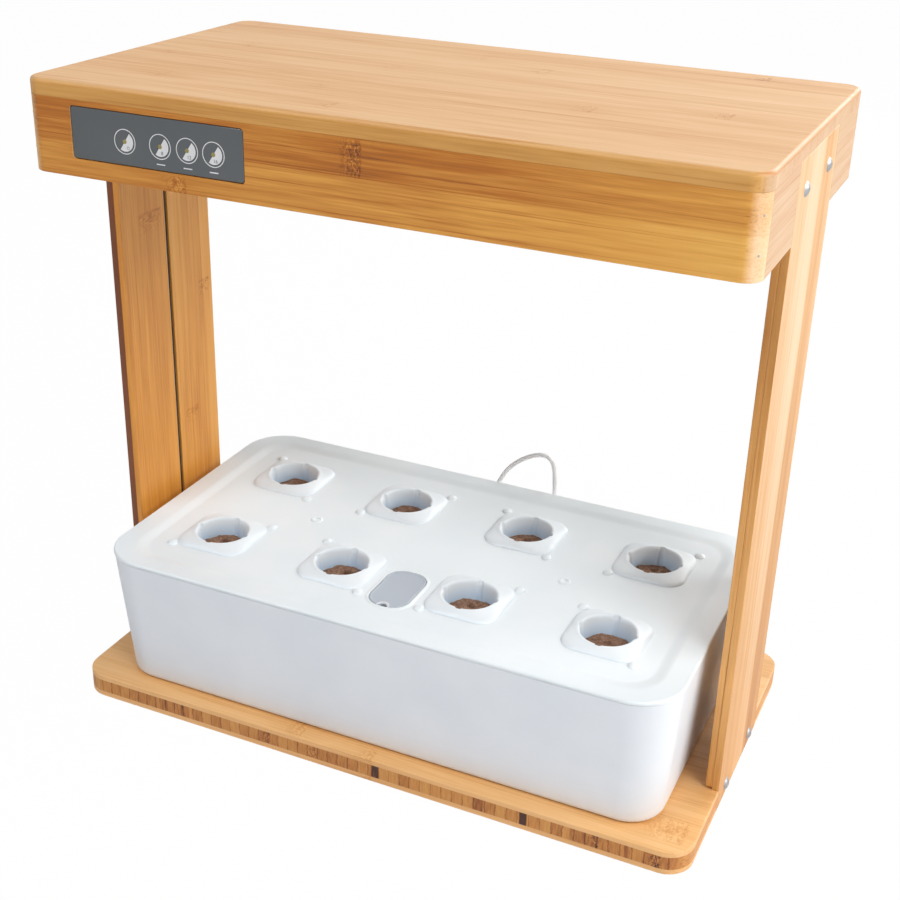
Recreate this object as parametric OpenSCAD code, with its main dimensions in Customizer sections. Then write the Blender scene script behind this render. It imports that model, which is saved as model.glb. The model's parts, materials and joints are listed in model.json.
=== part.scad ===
// Countertop hydroponic garden: a bamboo stand with a lamp canopy over an
// eight-pod water tank. Millimetres, Z up, X to the right, Y to the back.
// The origin is the centre of the base board's footprint, on the floor.

/* [Stand] */
// Width of the stand over the post faces
overall_w = 400; // [396:1:440]
// Depth of the base board and the canopy
overall_d = 220; // [218:1:260]
// Height from the floor to the top of the canopy
overall_h = 390; // [370:1:440]
// Thickness of the base board
base_t = 15; // [13:0.5:20]
// Plan corner radius of the base board
base_corner_r = 16; // [8:1:24]

/* [Posts] */
// Width of a post, front to back
post_w = 92; // [80:1:110]
// Thickness of a post's outer board
post_outer_t = 4.2; // [3.6:0.1:5]
// Thickness of a post's inner boards
post_inner_t = 3.8; // [3.4:0.1:5]
// Width of the cable channel between a post's inner boards
channel_w = 3.4; // [3.4:0.1:6]
// Gap under the inner boards, above the base board
inner_foot_gap = 1.5; // [0.5:0.1:3]
// Clearance of a housed board in its notch, each side
joint_gap = 0.1; // [0.05:0.05:0.3]

/* [Post screws] */
// Diameter of a screw's domed head
screw_head_d = 8; // [7:0.5:9]
// Height of a screw's domed head
screw_head_h = 2; // [1.5:0.1:2.6]
// Diameter of a screw's shank
screw_shank_d = 3.4; // [3:0.1:4]
// Distance between the two screws at a post's end
screw_pitch = 54; // [44:1:64]
// Length of a lower screw's shank
lower_screw_l = 22; // [16:1:30]
// Clearance of a shank in its pilot hole, each side
pilot_gap = 0.05; // [0.02:0.01:0.15]

/* [Canopy] */
// Height of the canopy
canopy_h = 50; // [48:1:70]
// Thickness of the canopy's top plate
top_plate_t = 9; // [7:0.5:12]
// Thickness of the canopy's rails
rail_t = 9; // [8:0.5:12]
// Plan corner radius of the canopy
canopy_corner_r = 10.5; // [8:0.5:14]
// Radius of the top plate's upper arris
top_arris = 2.5; // [1:0.5:4]
// Height of the upper screws and the panel's middle above the canopy's underside
fitting_h = 24; // [22:0.5:25]

/* [Control panel] */
// Width of the panel window
panel_w = 106; // [100:1:120]
// Height of the panel window
panel_h = 28; // [26:0.5:30]
// Thickness of the panel window
panel_t = 2; // [1.5:0.1:3]
// Corner radius of the panel window
panel_r = 2; // [1:0.5:4]
// Distance of the panel's middle from the canopy's left end
panel_off = 83; // [74:1:90]
// Clearance round the panel window in its rebate
panel_gap = 0.15; // [0.1:0.05:0.4]
// Diameter of a touch key's spring
key_spring_d = 8; // [6:0.5:10]
// Free space between the panel window and the touch board
key_spring_l = 2; // [1.5:0.1:2.5]
// Thickness of the circuit boards
board_t = 1.6; // [1.2:0.1:2]

/* [Lamp] */
// Height of the lamp tray above the canopy's underside
tray_rise = 8; // [8:0.5:9]
// Wall thickness of the lamp tray
tray_t = 1.2; // [1:0.1:1.6]
// Height of the lamp tray's skirt
tray_skirt_h = 12; // [11:0.5:13]
// Clearance round the lamp tray
tray_gap = 0.3; // [0.2:0.05:0.6]
// Width of the lamp board
lamp_board_w = 330; // [300:1:340]
// Depth of the lamp board
lamp_board_d = 130; // [120:1:150]
// Side of a lamp chip
chip_w = 5; // [3:0.5:6]
// Height of a lamp chip
chip_h = 1.2; // [0.8:0.1:1.3]
// Lamp chips in a row
chip_columns = 12; // [8:1:14]
// Rows of lamp chips
chip_rows = 4; // [2:1:6]
// Thickness of the lamp cover sheet
cover_t = 2; // [1.5:0.1:2.4]
// Clearance round the lamp cover sheet
cover_gap = 0.5; // [0.3:0.1:1]
// Diameter of the small machine screws
small_screw_d = 3; // [2.5:0.1:3.5]

/* [Power] */
// Width of the driver board
driver_w = 96; // [90:1:110]
// Depth of the driver board
driver_d = 44; // [40:1:60]
// Gap between the driver board and the left rail
driver_end_gap = 24; // [20:1:30]
// Distance of the driver board's middle behind the canopy's middle
driver_back = 20; // [10:1:26]
// Width of a connector block
block_w = 10; // [8:0.5:12]
// Depth of a connector block
block_d = 8; // [6:0.5:9]
// Height of a connector block
block_h = 7; // [6:0.5:8]
// Distance of the lamp lead's hole from the driver board
lamp_hole_gap = 27; // [20:1:40]
// Height of the bosses under the driver board
driver_boss_h = 4; // [3:0.5:5]
// Bore of the power socket
socket_bore_d = 5.6; // [5.5:0.1:6.5]
// Outer diameter of the power socket's barrel
socket_d = 8; // [7.6:0.1:9]
// Distance of the power socket from the canopy's left end
socket_off = 50; // [40:1:60]

/* [Tank] */
// Gap between the tank and a post, each side
tank_side_gap = 9.5; // [6:0.5:12]
// Distance of the tank behind the base board's front edge
tank_front_gap = 2; // [1:0.5:4]
// Distance of the tank from the base board's rear edge
tank_rear_gap = 14; // [13:0.5:18]
// Plan corner radius of the tank lid
lid_corner_r = 28; // [20:1:34]
// Height of the closed tank above the base board
tank_h = 89.5; // [86:0.5:94]
// Wall thickness of the tub
tub_wall = 2.5; // [2:0.1:3.5]
// Inward slope of the tub's sides over its height
tub_draft_side = 5; // [2:0.5:8]
// Inward slope of the tub's front and back over its height
tub_draft_front = 9; // [4:0.5:12]
// Size of the rounding round the tub's foot
tub_foot = 4.5; // [2:0.5:6]
// Height of the visible edge of the lid
lid_edge_h = 2.7; // [2:0.1:4]
// Gap between the lid and the tub's rim
lid_seat_gap = 0.3; // [0.2:0.05:0.5]
// Thickness of the lid's field
lid_t = 2; // [1.6:0.1:3]
// Depth of the lid's field below its rim
field_drop = 2; // [1:0.1:3]
// Width of the lid's rim at the sides
rim_side_w = 12; // [8:0.5:15]
// Width of the lid's rim at the front and back
rim_front_w = 10; // [7:0.5:11]
// Width of the slope between the rim and the field
rim_slope_w = 5.5; // [3:0.5:7]
// Height of the lid's inner lip below the tub's rim
lip_h = 4; // [3:0.5:6]
// Clearance of the lid's inner lip in the tub
lip_gap = 0.8; // [0.6:0.1:1.2]
// Thickness of the lid's inner lip
lip_t = 2; // [1.5:0.1:3]

/* [Pods] */
// Distance between the two middle pods of a row
pod_pitch = 85; // [82:0.5:90]
// Distance of a row's end pods from the lid's end
pod_end_gap = 55; // [52:0.5:58]
// Distance between the two rows of pods
row_pitch = 89; // [86:0.5:92]
// Side of a pod's square collar
collar_w = 46; // [43:0.5:48]
// Corner radius of a pod's collar
collar_r = 10; // [6:0.5:14]
// Height of a pod's lip above the seat of its collar
collar_h = 4.2; // [3:0.1:6]
// Height of a collar's edge
collar_edge_h = 1; // [0.6:0.1:2]
// Diameter of a pod's mouth
mouth_d = 34.5; // [32:0.5:36]
// Wall thickness of a pod's cup
cup_wall = 1.2; // [1:0.1:1.6]
// Depth of a pod's cup below its collar
cup_depth = 59; // [50:1:60]
// Diameter of a pod's cup inside its foot
cup_foot_d = 22; // [18:1:26]
// Depth of the grow sponge's top below the pod's lip
sponge_drop = 12; // [8:0.5:16]
// Clearance between the sponge and its cup
sponge_gap = 0.4; // [0.3:0.1:0.8]
// Clearance between a cup and its hole in the lid
cup_gap = 0.4; // [0.3:0.05:0.8]
// Gap between a collar and the lid's field
collar_seat_gap = 0.3; // [0.2:0.05:0.5]
// Width of the grooves in a pod's mouth
groove_w = 1.8; // [1.2:0.1:3]
// Depth of the grooves in a pod's mouth
groove_t = 0.7; // [0.4:0.1:0.8]
// Diameter of the small domes on the lid
dome_d = 5.5; // [4:0.5:6]
// Height of the small domes on the lid
dome_h = 1.5; // [0.8:0.1:2]
// Diameter of the two rings on the lid
ring_d = 9; // [7:0.5:11]
// Distance of a dome from its pod's middle along each axis
dome_off = 22.5; // [22:0.25:24]

/* [Filler flap] */
// Width of the filler flap
flap_w = 25; // [22:0.5:28]
// Length of the filler flap
flap_l = 41.5; // [38:0.5:43]
// Plan corner radius of the filler flap
flap_r = 9; // [6:0.5:10]
// Thickness of the filler flap
flap_t = 2; // [1.6:0.1:2.4]
// Distance of the flap's rear edge in front of the tank's middle
flap_rear = 33; // [32:0.5:34]
// Distance of the hinge axis from the flap's rear edge
hinge_inset = 4.5; // [4:0.25:6]
// Diameter of the flap's hinge pins
hinge_pin_d = 1.1; // [1:0.1:1.3]
// Running clearance of a hinge pin in its socket, each side
hinge_play = 0.07; // [0.03:0.01:0.1]
// Clearance round the flap
flap_gap = 0.4; // [0.3:0.05:0.6]
// Width of the raised rim round the flap
flap_rim_w = 1.6; // [1.2:0.1:2]
// Height of the raised rim above the lid's field
flap_rim_h = 0.8; // [0.6:0.1:1]
// Width of the ledge under the flap
ledge_w = 2.5; // [2:0.1:3.5]
// Radius of the finger notch at the flap's front edge
notch_r = 3.2; // [2:0.2:4]

/* [Pump] */
// Width of the pump
pump_w = 38; // [34:1:40]
// Depth of the pump's body
pump_d = 34; // [33:1:38]
// Height of the pump's body
pump_h = 28; // [27:1:30]
// Distance of the pump's middle behind the tank's middle
pump_back = 41; // [38:1:43]
// Height of the pump's suction feet
foot_h = 3.5; // [2.5:0.5:5]
// Diameter of the pump's shaft
shaft_d = 2; // [1.5:0.1:2.4]
// Running clearance of the rotor on its shaft, each side
rotor_play = 0.05; // [0.02:0.01:0.1]
// Diameter of the pump's impeller
impeller_d = 19; // [16:0.5:20]
// Diameter of the rotor's magnet
magnet_d = 10.4; // [9:0.2:11]
// Clearance of the rotor in the pump's chamber
chamber_gap = 1; // [0.6:0.1:1.4]

/* [Pump lead] */
// Diameter of the pump lead
lead_d = 3; // [2.6:0.1:3.2]
// Distance of the lead's exit from the tank's middle
lead_off = 36; // [30:1:44]
// Height of the lead's exit above the floor
lead_h = 85; // [80:1:86]
// Diameter of the grommet's flanges
grommet_d = 11; // [9:0.5:12]

/* [Hidden] */
$fn = 64;

eps = 0.01;
bamboo = "burlywood";
plastic = "whitesmoke";

// stand
half_w = overall_w / 2;
half_d = overall_d / 2;
canopy_z = overall_h - canopy_h;
plate_z = overall_h - top_plate_t;
inner_face = half_w - post_outer_t - post_inner_t;
fitting_z = canopy_z + fitting_h;
upper_screw_l = rail_t - 0.5;
rail_in_w = overall_w - 2 * rail_t;
rail_in_d = overall_d - 2 * rail_t;
cable_slot_h = 19;

// control panel
panel_y = -half_d;
key_x = [-18.6, 3.7, 20.5, 36.7];
window_w = panel_w - 12;
window_h = panel_h - 12;
touch_w = window_w + 4;
touch_h = window_h + 4;
touch_y = panel_y + panel_t + key_spring_l;
panel_x = panel_off - half_w;
panel_lead_start = [panel_x, touch_y + board_t, fitting_z];

// lamp
tray_z = canopy_z + tray_rise;
tray_w = rail_in_w - 2 * tray_gap;
tray_d = rail_in_d - 2 * tray_gap;
lamp_board_z = tray_z - board_t;
small_head_h = 1.6;
small_head_d = 5.6;
cover_boss_h = board_t + small_head_h + 0.2;
cover_z = tray_z - cover_boss_h - cover_t;
cover_boss_d = 8;
cover_points = [for (x = [-1, 0, 1], y = [-1, 1]) [x * (tray_w / 2 - 12), y * (tray_d / 2 - 12)]];
lamp_board_points = [for (x = [-1, 0, 1], y = [-1, 1])
    [x * (lamp_board_w / 2 - 8), y * (lamp_board_d / 2 - 8)]];
tray_screw_x = 45;
tray_screw_y = 80;
tray_screw_z = tray_z + 8;
tray_screw_bite = 5;
chip_margin_x = 20;
chip_margin_y = 17;

// driver board
driver_x = -(half_w - rail_t - driver_end_gap - driver_w / 2);
driver_y = driver_back;
driver_z = tray_z + tray_t + driver_boss_h;
driver_top = driver_z + board_t;
driver_points = [for (x = [-1, 1], y = [-1, 1])
    [driver_x + x * (driver_w / 2 - 4), driver_y + y * (driver_d / 2 - 4)]];
block = [block_w, block_d, block_h];
block_z = driver_top + block_h / 2;
cable_block_off = 10;
lamp_lead_x = driver_x + driver_w / 2 + lamp_hole_gap;

// power socket
socket_z = plate_z - 11;
socket_l = 19;
socket_flange_d = socket_d + 3;
socket_flange_t = 1.4;
socket_x = socket_off - half_w;

// tank
lid_w = 2 * (inner_face - tank_side_gap);
lid_d = overall_d - tank_front_gap - tank_rear_gap;
tank_y = (tank_front_gap - tank_rear_gap) / 2;
rim_z = base_t + tank_h;
field_z = rim_z - field_drop;
lid_under = rim_z - lid_edge_h;
tub_top = lid_under - lid_seat_gap;
tub_w = lid_w - 1;
tub_d = lid_d - 1;
tub_r = lid_corner_r - 0.5;
tub_foot_z = base_t + tub_foot;
tub_floor = base_t + tub_wall;
foot_w = tub_w - 2 * tub_draft_side;
foot_d = tub_d - 2 * tub_draft_front;
foot_r = tub_r - tub_draft_side;
lip_z = tub_top - lip_h;
draft_k = lip_h / (tub_top - tub_foot_z);
lip_w = tub_w - 2 * (tub_wall + lip_gap + tub_draft_side * draft_k);
lip_d = tub_d - 2 * (tub_wall + lip_gap + tub_draft_front * draft_k);
lip_r = tub_r - tub_wall;

// pods
collar_z = field_z + collar_seat_gap;
mouth_r = mouth_d / 2;
cup_r = mouth_r + cup_wall;
sponge_z = collar_z + collar_h - sponge_drop;
taper_z = sponge_z + 2;
cup_foot_z = collar_z - cup_depth;
cup_foot_r = cup_foot_d / 2;
pod_x = [pod_end_gap - lid_w / 2, -pod_pitch / 2, pod_pitch / 2, lid_w / 2 - pod_end_gap];
pods = [for (row = [-1, 1], x = pod_x) [x, tank_y + row * row_pitch / 2]];

// filler flap
flap_top = field_z + flap_rim_h;
flap_under = flap_top - flap_t;
flap_y = tank_y - flap_rear - flap_l / 2;
hinge_y = tank_y - flap_rear - hinge_inset;
hinge_z = flap_top - flap_t / 2;
hinge_half = flap_w / 2 - flap_r + sqrt(flap_r * flap_r - pow(max(flap_r - hinge_inset, 0), 2));
tail_r = norm([hinge_inset, flap_t / 2]) + 0.25;
open_half = flap_w / 2 - flap_r + sqrt(flap_r * flap_r - pow(max(flap_r - hinge_inset - flap_t / 2, 0), 2));
open_play = 0.3;
socket_end = hinge_half + flap_gap + 1.4;
ledge_top = flap_under - 0.3;

// pump
pump_y = tank_y + pump_back;
pump_front = pump_y - pump_d / 2;
pump_z = tub_floor + foot_h;
pump_axis_z = pump_z + pump_h / 2;
chamber_l = 8;
magnet_l = 16;
seat_play = 0.02;
volute_t = 2.5;
filter_t = 5;
grille_l = filter_t + 2;
cage_wall = 1.6;
shaft_back = pump_front + chamber_l + magnet_l + 4;
shaft_front = pump_front - volute_t + 1;

// pump lead
function tub_rear_y(z) = tank_y + tub_d / 2 - tub_draft_front * (tub_top - z) / (tub_top - tub_foot_z);
exit_y = tub_rear_y(lead_h);
pad_out = exit_y + 1;
pad_in = exit_y - tub_wall - 1;
grommet_neck_d = grommet_d - 4;
grommet_nose_d = 6;
grommet_flange_t = 1.6;
grommet_nose_l = 3.3;
grommet_bore_r = lead_d / 2 + 0.05;
cable_d = 2.8;

// routes, each a list of points from one end to the other, some counted from the piece they meet
function from_point(o, points) = [for (p = points) o + p];
lead_route = [[36, 98, 85], [36, 101, 85.2], [36, 104.3, 87.2], [36, 106.3, 91.4], [36, 106.8, 98],
    [35.6, 106.8, 108], [34.8, 106.8, 116], [33, 106.8, 121.6], [28.6, 106.8, 125], [22.5, 106.8, 124.6],
    [14.3, 106.8, 120.8], [6, 106.8, 114.4], [0.4, 106.8, 107.9], [-4.6, 106.6, 98.9], [-12, 106, 84],
    [-24, 105, 64], [-40, 104, 44], [-60, 103, 28], [-84, 102, 18.6], [-110, 101, 16.5],
    [-140, 99, 16.5], [-162, 93, 16.5], [-177, 80, 16.5], [-184, 62, 16.5], [-185, 40, 16.5],
    [-184.8, 22, 16.5], [-185.6, 11, 17], [-188.2, 2.6, 19.8], [-191.2, 0, 23.5], [-193.3, 0, 29],
    [-193.9, 0, 34], [-193.9, 0, 38]];
cable_route = concat([[6.1 - half_w, 0, 38]],
    from_point([-half_w, 0, canopy_z], [[6.1, 0, -260], [6.1, 0, -200], [6.1, 0, -140], [6.1, 0, -80],
        [6.1, 0, -20], [6.1, 0, 0], [6.4, 0, 6], [8.5, 0, 12]]),
    from_point([driver_x - driver_w / 2, driver_y - cable_block_off, block_z],
        [[-20, -9, -2.7], [-14, -6, -0.7], [-7, -2, 0], [0, 0, 0]]));
nose_end = pad_out + grommet_nose_l;
inner_lead_route = [[10, 52, 40], [10, 57, 40], [12, 64, 43], [18, 73, 54], [27, 80, 69], [34, 83.5, 80],
    [36, 86, 84.4], [36, 89.5, 85], [36, 98, 85]];
inlet_route = concat(
    from_point([socket_x, half_d - socket_l, socket_z], [[0, 0, 0], [0, -7, 0], [0, -19, -2]]),
    from_point([socket_x, driver_y + driver_d / 2, block_z], [[0, 18, 3.7], [0, 8, 0.5], [0, 0, 0]]));
panel_route = concat(
    from_point(panel_lead_start, [[0, 0, 0], [0, 6.4, 0], [0, 20.4, -1.5]]),
    from_point([driver_x, driver_y - driver_d / 2, block_z], [[1, -48, 1.1], [0, -18, 0.1], [0, 0, 0]]));
lamp_route = concat(
    from_point([driver_x + driver_w / 2, driver_y, block_z], [[0, 0, 0], [7, 0, 0], [19, 0, -0.8]]),
    from_point([lamp_lead_x, driver_y, tray_z], [[0, 0, 5], [0, 0, 0]]));

// ---------- shared shapes ----------

// rounded rectangle, in plan
module outline(w, d, r) {
    square([w - 2 * r, d], center = true);
    square([w, d - 2 * r], center = true);
    for (x = [-1, 1], y = [-1, 1])
        translate([x * (w / 2 - r), y * (d / 2 - r)]) circle(r);
}

module slab(w, d, h, r) {
    linear_extrude(h) outline(w, d, r);
}

// a thin rounded rectangle for the ends of a drafted shell
module layer(w, d, r, z) {
    translate([0, 0, z]) linear_extrude(eps) outline(w, d, r, $fn = 32);
}

// a board whose upper arris is rounded
module soft_board(w, d, h, r, e) {
    module edge_profile(reach) {
        square([reach - e, h]);
        square([reach, h - e]);
        translate([reach - e, h - e]) intersection() {
            circle(e);
            square(e);
        }
    }
    module side(length) {
        rotate([90, 0, 90]) linear_extrude(length) edge_profile(r);
    }
    translate([-(w / 2 - r), -(d / 2 - r), 0]) cube([w - 2 * r, d - 2 * r, h]);
    for (a = [0, 180]) rotate(a) {
        translate([-(w / 2 - r), d / 2 - r, 0]) side(w - 2 * r);
        translate([w / 2 - r, d / 2 - r, 0]) rotate(-90) side(d - 2 * r);
        translate([w / 2 - r, d / 2 - r, 0]) rotate_extrude(angle = 90) edge_profile(r);
        translate([w / 2 - r, -(d / 2 - r), 0]) rotate(-90) rotate_extrude(angle = 90) edge_profile(r);
    }
}

// cylinder along X or Y, its length centred on the origin
module rod_x(d, l) {
    rotate([0, 90, 0]) cylinder(d = d, h = l, center = true);
}

module rod_y(d, l) {
    rotate([90, 0, 0]) cylinder(d = d, h = l, center = true);
}

// spherical cap standing on z = 0
module cap(d, h) {
    r = (d * d / 4 + h * h) / (2 * h);
    intersection() {
        translate([0, 0, h - r]) sphere(r);
        cylinder(d = d + 1, h = h + 1);
    }
}

// machine screw along +Z, its head below z = 0
module small_screw(l) {
    cylinder(d = small_screw_d, h = l);
    difference() {
        translate([0, 0, -small_head_h]) cylinder(d = small_head_d, h = small_head_h);
        for (a = [0, 90]) rotate(a) translate([-1.5, -0.3, -small_head_h - eps]) cube([3, 0.6, 0.8]);
    }
}

// ---------- cord sweep ----------

ring_step = 7;
cord_sides = 8;
function unit(v) = v / norm(v);
function curve(a, b, c, d, t) = 0.5 * (2 * b + (c - a) * t + (2 * a - 5 * b + 4 * c - d) * t * t
    + (3 * b - a - 3 * c + d) * t * t * t);
function smooth_route(p) = concat([for (i = [0:len(p) - 2])
    let (a = p[max(i - 1, 0)], d = p[min(i + 2, len(p) - 1)],
        n = max(1, ceil(norm(p[i + 1] - p[i]) / ring_step)))
    for (k = [0:n - 1]) curve(a, p[i], p[i + 1], d, k / n)], [p[len(p) - 1]]);
function heading(p, i) = unit(p[min(i + 1, len(p) - 1)] - p[max(i - 1, 0)]);
function frames(p, i, side) = i >= len(p) ? [] :
    let (t = heading(p, i), s = unit(side - (side * t) * t))
    concat([[p[i], s, cross(t, s)]], frames(p, i + 1, s));

module cord(route, d, side) {
    p = smooth_route(route);
    f = frames(p, 0, side);
    n = cord_sides;
    points = [for (g = f, k = [0:n - 1]) g[0] + d / 2 * (cos(360 * k / n) * g[1] + sin(360 * k / n) * g[2])];
    walls = [for (i = [0:len(f) - 2], k = [0:n - 1])
        [i * n + k, (i + 1) * n + k, (i + 1) * n + (k + 1) % n, i * n + (k + 1) % n]];
    first = [[for (k = [0:n - 1]) k]];
    last = [[for (k = [n - 1:-1:0]) (len(f) - 1) * n + k]];
    polyhedron(points, concat(walls, first, last));
}

// ---------- stand ----------

module base_board() {
    color(bamboo) difference() {
        slab(overall_w, overall_d, base_t, base_corner_r);
        for (s = [-1, 1]) {
            translate([s * (half_w - post_outer_t / 2 + 1), 0, base_t / 2])
                cube([post_outer_t + 2, post_w + 2 * joint_gap, base_t + 2], center = true);
            for (y = [-1, 1])
                translate([s * (half_w - post_outer_t - lower_screw_l / 2), y * screw_pitch / 2, base_t / 2])
                    rod_x(screw_shank_d + 2 * pilot_gap, lower_screw_l + 2 * eps);
        }
    }
}

module post_outer_board(s) {
    color(bamboo) difference() {
        translate([s * (half_w - post_outer_t / 2), 0, plate_z / 2])
            cube([post_outer_t, post_w, plate_z], center = true);
        for (y = [-1, 1], z = [base_t / 2, fitting_z])
            translate([s * half_w, y * screw_pitch / 2, z])
                rod_x(screw_shank_d + 2 * pilot_gap, 3 * post_outer_t);
    }
}

module post_inner_board(s, row) {
    low = base_t + inner_foot_gap;
    width = (post_w - channel_w) / 2;
    color(bamboo)
        translate([s * (inner_face + post_inner_t / 2), row * (channel_w + width) / 2, (low + canopy_z) / 2])
            cube([post_inner_t, width, canopy_z - low], center = true);
}

// one pair of domed screws in each post, at height z
module post_screws(z, l) {
    color("silver") for (s = [-1, 1], y = [-1, 1])
        translate([s * half_w, y * screw_pitch / 2, z]) rotate([0, s * 90, 0]) {
            difference() {
                cap(screw_head_d, screw_head_h);
                for (a = [0, 90]) rotate(a) translate([-2, -0.4, screw_head_h - 1]) cube([4, 0.8, 2]);
            }
            translate([0, 0, -l]) cylinder(d = screw_shank_d, h = l + eps);
        }
}

// ---------- canopy ----------

module canopy_top_plate() {
    color(bamboo) translate([0, 0, plate_z])
        soft_board(overall_w, overall_d, top_plate_t, canopy_corner_r, top_arris);
}

// the strip of the canopy's outline that lies in the box from a to b
module rail_strip(a, b) {
    intersection() {
        translate([0, 0, canopy_z]) slab(overall_w, overall_d, plate_z - canopy_z, canopy_corner_r);
        translate([a[0], a[1], canopy_z - 1]) cube([b[0] - a[0], b[1] - a[1], canopy_h]);
    }
}

module small_pilot(l) {
    rod_y(small_screw_d + 2 * pilot_gap, l);
}

module canopy_front_rail() {
    color(bamboo) difference() {
        rail_strip([-half_w, -half_d - 1], [half_w, -half_d + rail_t]);
        translate([panel_x, panel_y, fitting_z]) rotate([90, 0, 0]) {
            translate([0, 0, -panel_t])
                slab(panel_w + 2 * panel_gap, panel_h + 2 * panel_gap, panel_t + 1, panel_r);
            translate([-window_w / 2, -window_h / 2, -rail_t - 1]) cube([window_w, window_h, rail_t + 1]);
            translate([-touch_w / 2, -touch_h / 2, -rail_t - 1])
                cube([touch_w, touch_h, rail_t + 1 - panel_t - key_spring_l]);
        }
        for (x = [-1, 1])
            translate([x * tray_screw_x, -half_d + rail_t, tray_screw_z]) small_pilot(2 * tray_screw_bite);
    }
}

module canopy_rear_rail() {
    color(bamboo) difference() {
        rail_strip([-half_w, half_d - rail_t], [half_w, half_d + 1]);
        translate([socket_x, half_d - rail_t / 2, socket_z]) rod_y(socket_d + 2 * joint_gap, rail_t + 2);
        translate([socket_x, half_d, socket_z])
            rod_y(socket_flange_d + 2 * joint_gap, 2 * socket_flange_t);
        for (x = [-1, 1])
            translate([x * tray_screw_x, half_d - rail_t, tray_screw_z]) small_pilot(2 * tray_screw_bite);
    }
}

module canopy_side_rail(s) {
    color(bamboo) difference() {
        rail_strip([s < 0 ? -half_w : half_w - rail_t, -rail_in_d / 2],
            [s < 0 ? -half_w + rail_t : half_w, rail_in_d / 2]);
        translate([s * (half_w - post_outer_t / 2 + 1), 0, (canopy_z + plate_z) / 2])
            cube([post_outer_t + 2, post_w + 2 * joint_gap, canopy_h], center = true);
        for (y = [-1, 1]) {
            translate([s * (half_w - rail_t), y * screw_pitch / 2, fitting_z])
                rod_x(screw_shank_d + 2 * pilot_gap, 2 * rail_t);
            translate([s * (half_w - rail_t), y * tray_screw_y, tray_screw_z])
                rod_x(small_screw_d + 2 * pilot_gap, 2 * tray_screw_bite);
        }
        if (s < 0)
            translate([-half_w - 1, -channel_w / 2, canopy_z - 1])
                cube([rail_t + 2, channel_w, cable_slot_h + 1]);
    }
}

// ---------- control panel ----------

module control_panel() {
    color("dimgray") translate([panel_x, panel_y, fitting_z]) rotate([90, 0, 0])
        translate([0, 0, -panel_t]) slab(panel_w, panel_h, panel_t, panel_r);
}

module touch_board() {
    color("green") translate([panel_x, touch_y + board_t / 2, fitting_z])
        cube([touch_w - 0.6, board_t, touch_h - 0.6], center = true);
}

module touch_key_springs() {
    color("silver") for (x = key_x)
        translate([panel_x + x, touch_y - key_spring_l / 2, fitting_z - 1.2]) difference() {
            rod_y(key_spring_d, key_spring_l);
            rod_y(key_spring_d - 2, key_spring_l + 1);
        }
}

// ---------- lamp ----------

module lamp_tray() {
    cable_hole_z = tray_z + 5.6;
    color("white") difference() {
        union() {
            translate([-tray_w / 2, -tray_d / 2, tray_z]) difference() {
                cube([tray_w, tray_d, tray_skirt_h]);
                translate([tray_t, tray_t, tray_t])
                    cube([tray_w - 2 * tray_t, tray_d - 2 * tray_t, tray_skirt_h]);
            }
            for (c = cover_points)
                translate([c[0], c[1], tray_z - cover_boss_h])
                    cylinder(d = cover_boss_d, h = cover_boss_h + eps);
            for (c = driver_points)
                translate([c[0], c[1], tray_z + tray_t - eps]) cylinder(d = 7, h = driver_boss_h + eps);
        }
        for (c = concat(cover_points, driver_points, lamp_board_points))
            translate([c[0], c[1], tray_z - 2 * cover_boss_h])
                cylinder(d = small_screw_d + 2 * pilot_gap, h = 2 * cover_boss_h + 2 * driver_boss_h);
        for (x = [-1, 1])
            translate([x * tray_screw_x, 0, tray_screw_z]) rod_y(small_screw_d + 2 * pilot_gap, overall_d);
        for (y = [-1, 1])
            translate([0, y * tray_screw_y, tray_screw_z]) rod_x(small_screw_d + 2 * pilot_gap, overall_w);
        translate([-tray_w / 2, 0, cable_hole_z]) rod_x(8, 4 * tray_t);
        translate([lamp_lead_x, driver_y, tray_z]) cylinder(d = 6, h = 10, center = true);
    }
}

module lamp_tray_screws() {
    color("silver") {
        for (x = [-1, 1], y = [-1, 1])
            translate([x * tray_screw_x, y * (tray_d / 2 - tray_t), tray_screw_z]) rotate([-y * 90, 0, 0])
                small_screw(tray_t + tray_gap + tray_screw_bite - 0.1);
        for (x = [-1, 1], y = [-1, 1])
            translate([x * (tray_w / 2 - tray_t), y * tray_screw_y, tray_screw_z]) rotate([0, x * 90, 0])
                small_screw(tray_t + tray_gap + tray_screw_bite - 0.1);
    }
}

module lamp_board() {
    color("white") difference() {
        translate([-lamp_board_w / 2, -lamp_board_d / 2, lamp_board_z])
            cube([lamp_board_w, lamp_board_d, board_t]);
        for (c = lamp_board_points)
            translate([c[0], c[1], lamp_board_z - 1])
                cylinder(d = small_screw_d + 2 * pilot_gap, h = board_t + 2);
    }
}

module lamp_chips() {
    span_x = lamp_board_w - 2 * chip_margin_x;
    span_y = lamp_board_d - 2 * chip_margin_y;
    color("khaki") for (i = [0:chip_columns - 1], j = [0:chip_rows - 1])
        translate([span_x * (i / (chip_columns - 1) - 0.5), span_y * (j / (chip_rows - 1) - 0.5),
            lamp_board_z - chip_h / 2]) cube([chip_w, chip_w, chip_h], center = true);
}

module board_screws() {
    color("silver") {
        for (c = lamp_board_points) translate([c[0], c[1], lamp_board_z]) small_screw(board_t + tray_t + 2);
        for (c = driver_points)
            translate([c[0], c[1], driver_top]) rotate([180, 0, 0]) small_screw(board_t + driver_boss_h);
    }
}

module lamp_cover() {
    w = rail_in_w - 2 * cover_gap;
    d = rail_in_d - 2 * cover_gap;
    color("aliceblue", 0.6) difference() {
        translate([-w / 2, -d / 2, cover_z]) cube([w, d, cover_t]);
        for (c = cover_points)
            translate([c[0], c[1], cover_z - 1]) cylinder(d = small_screw_d + 2 * pilot_gap, h = cover_t + 2);
    }
}

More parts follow.
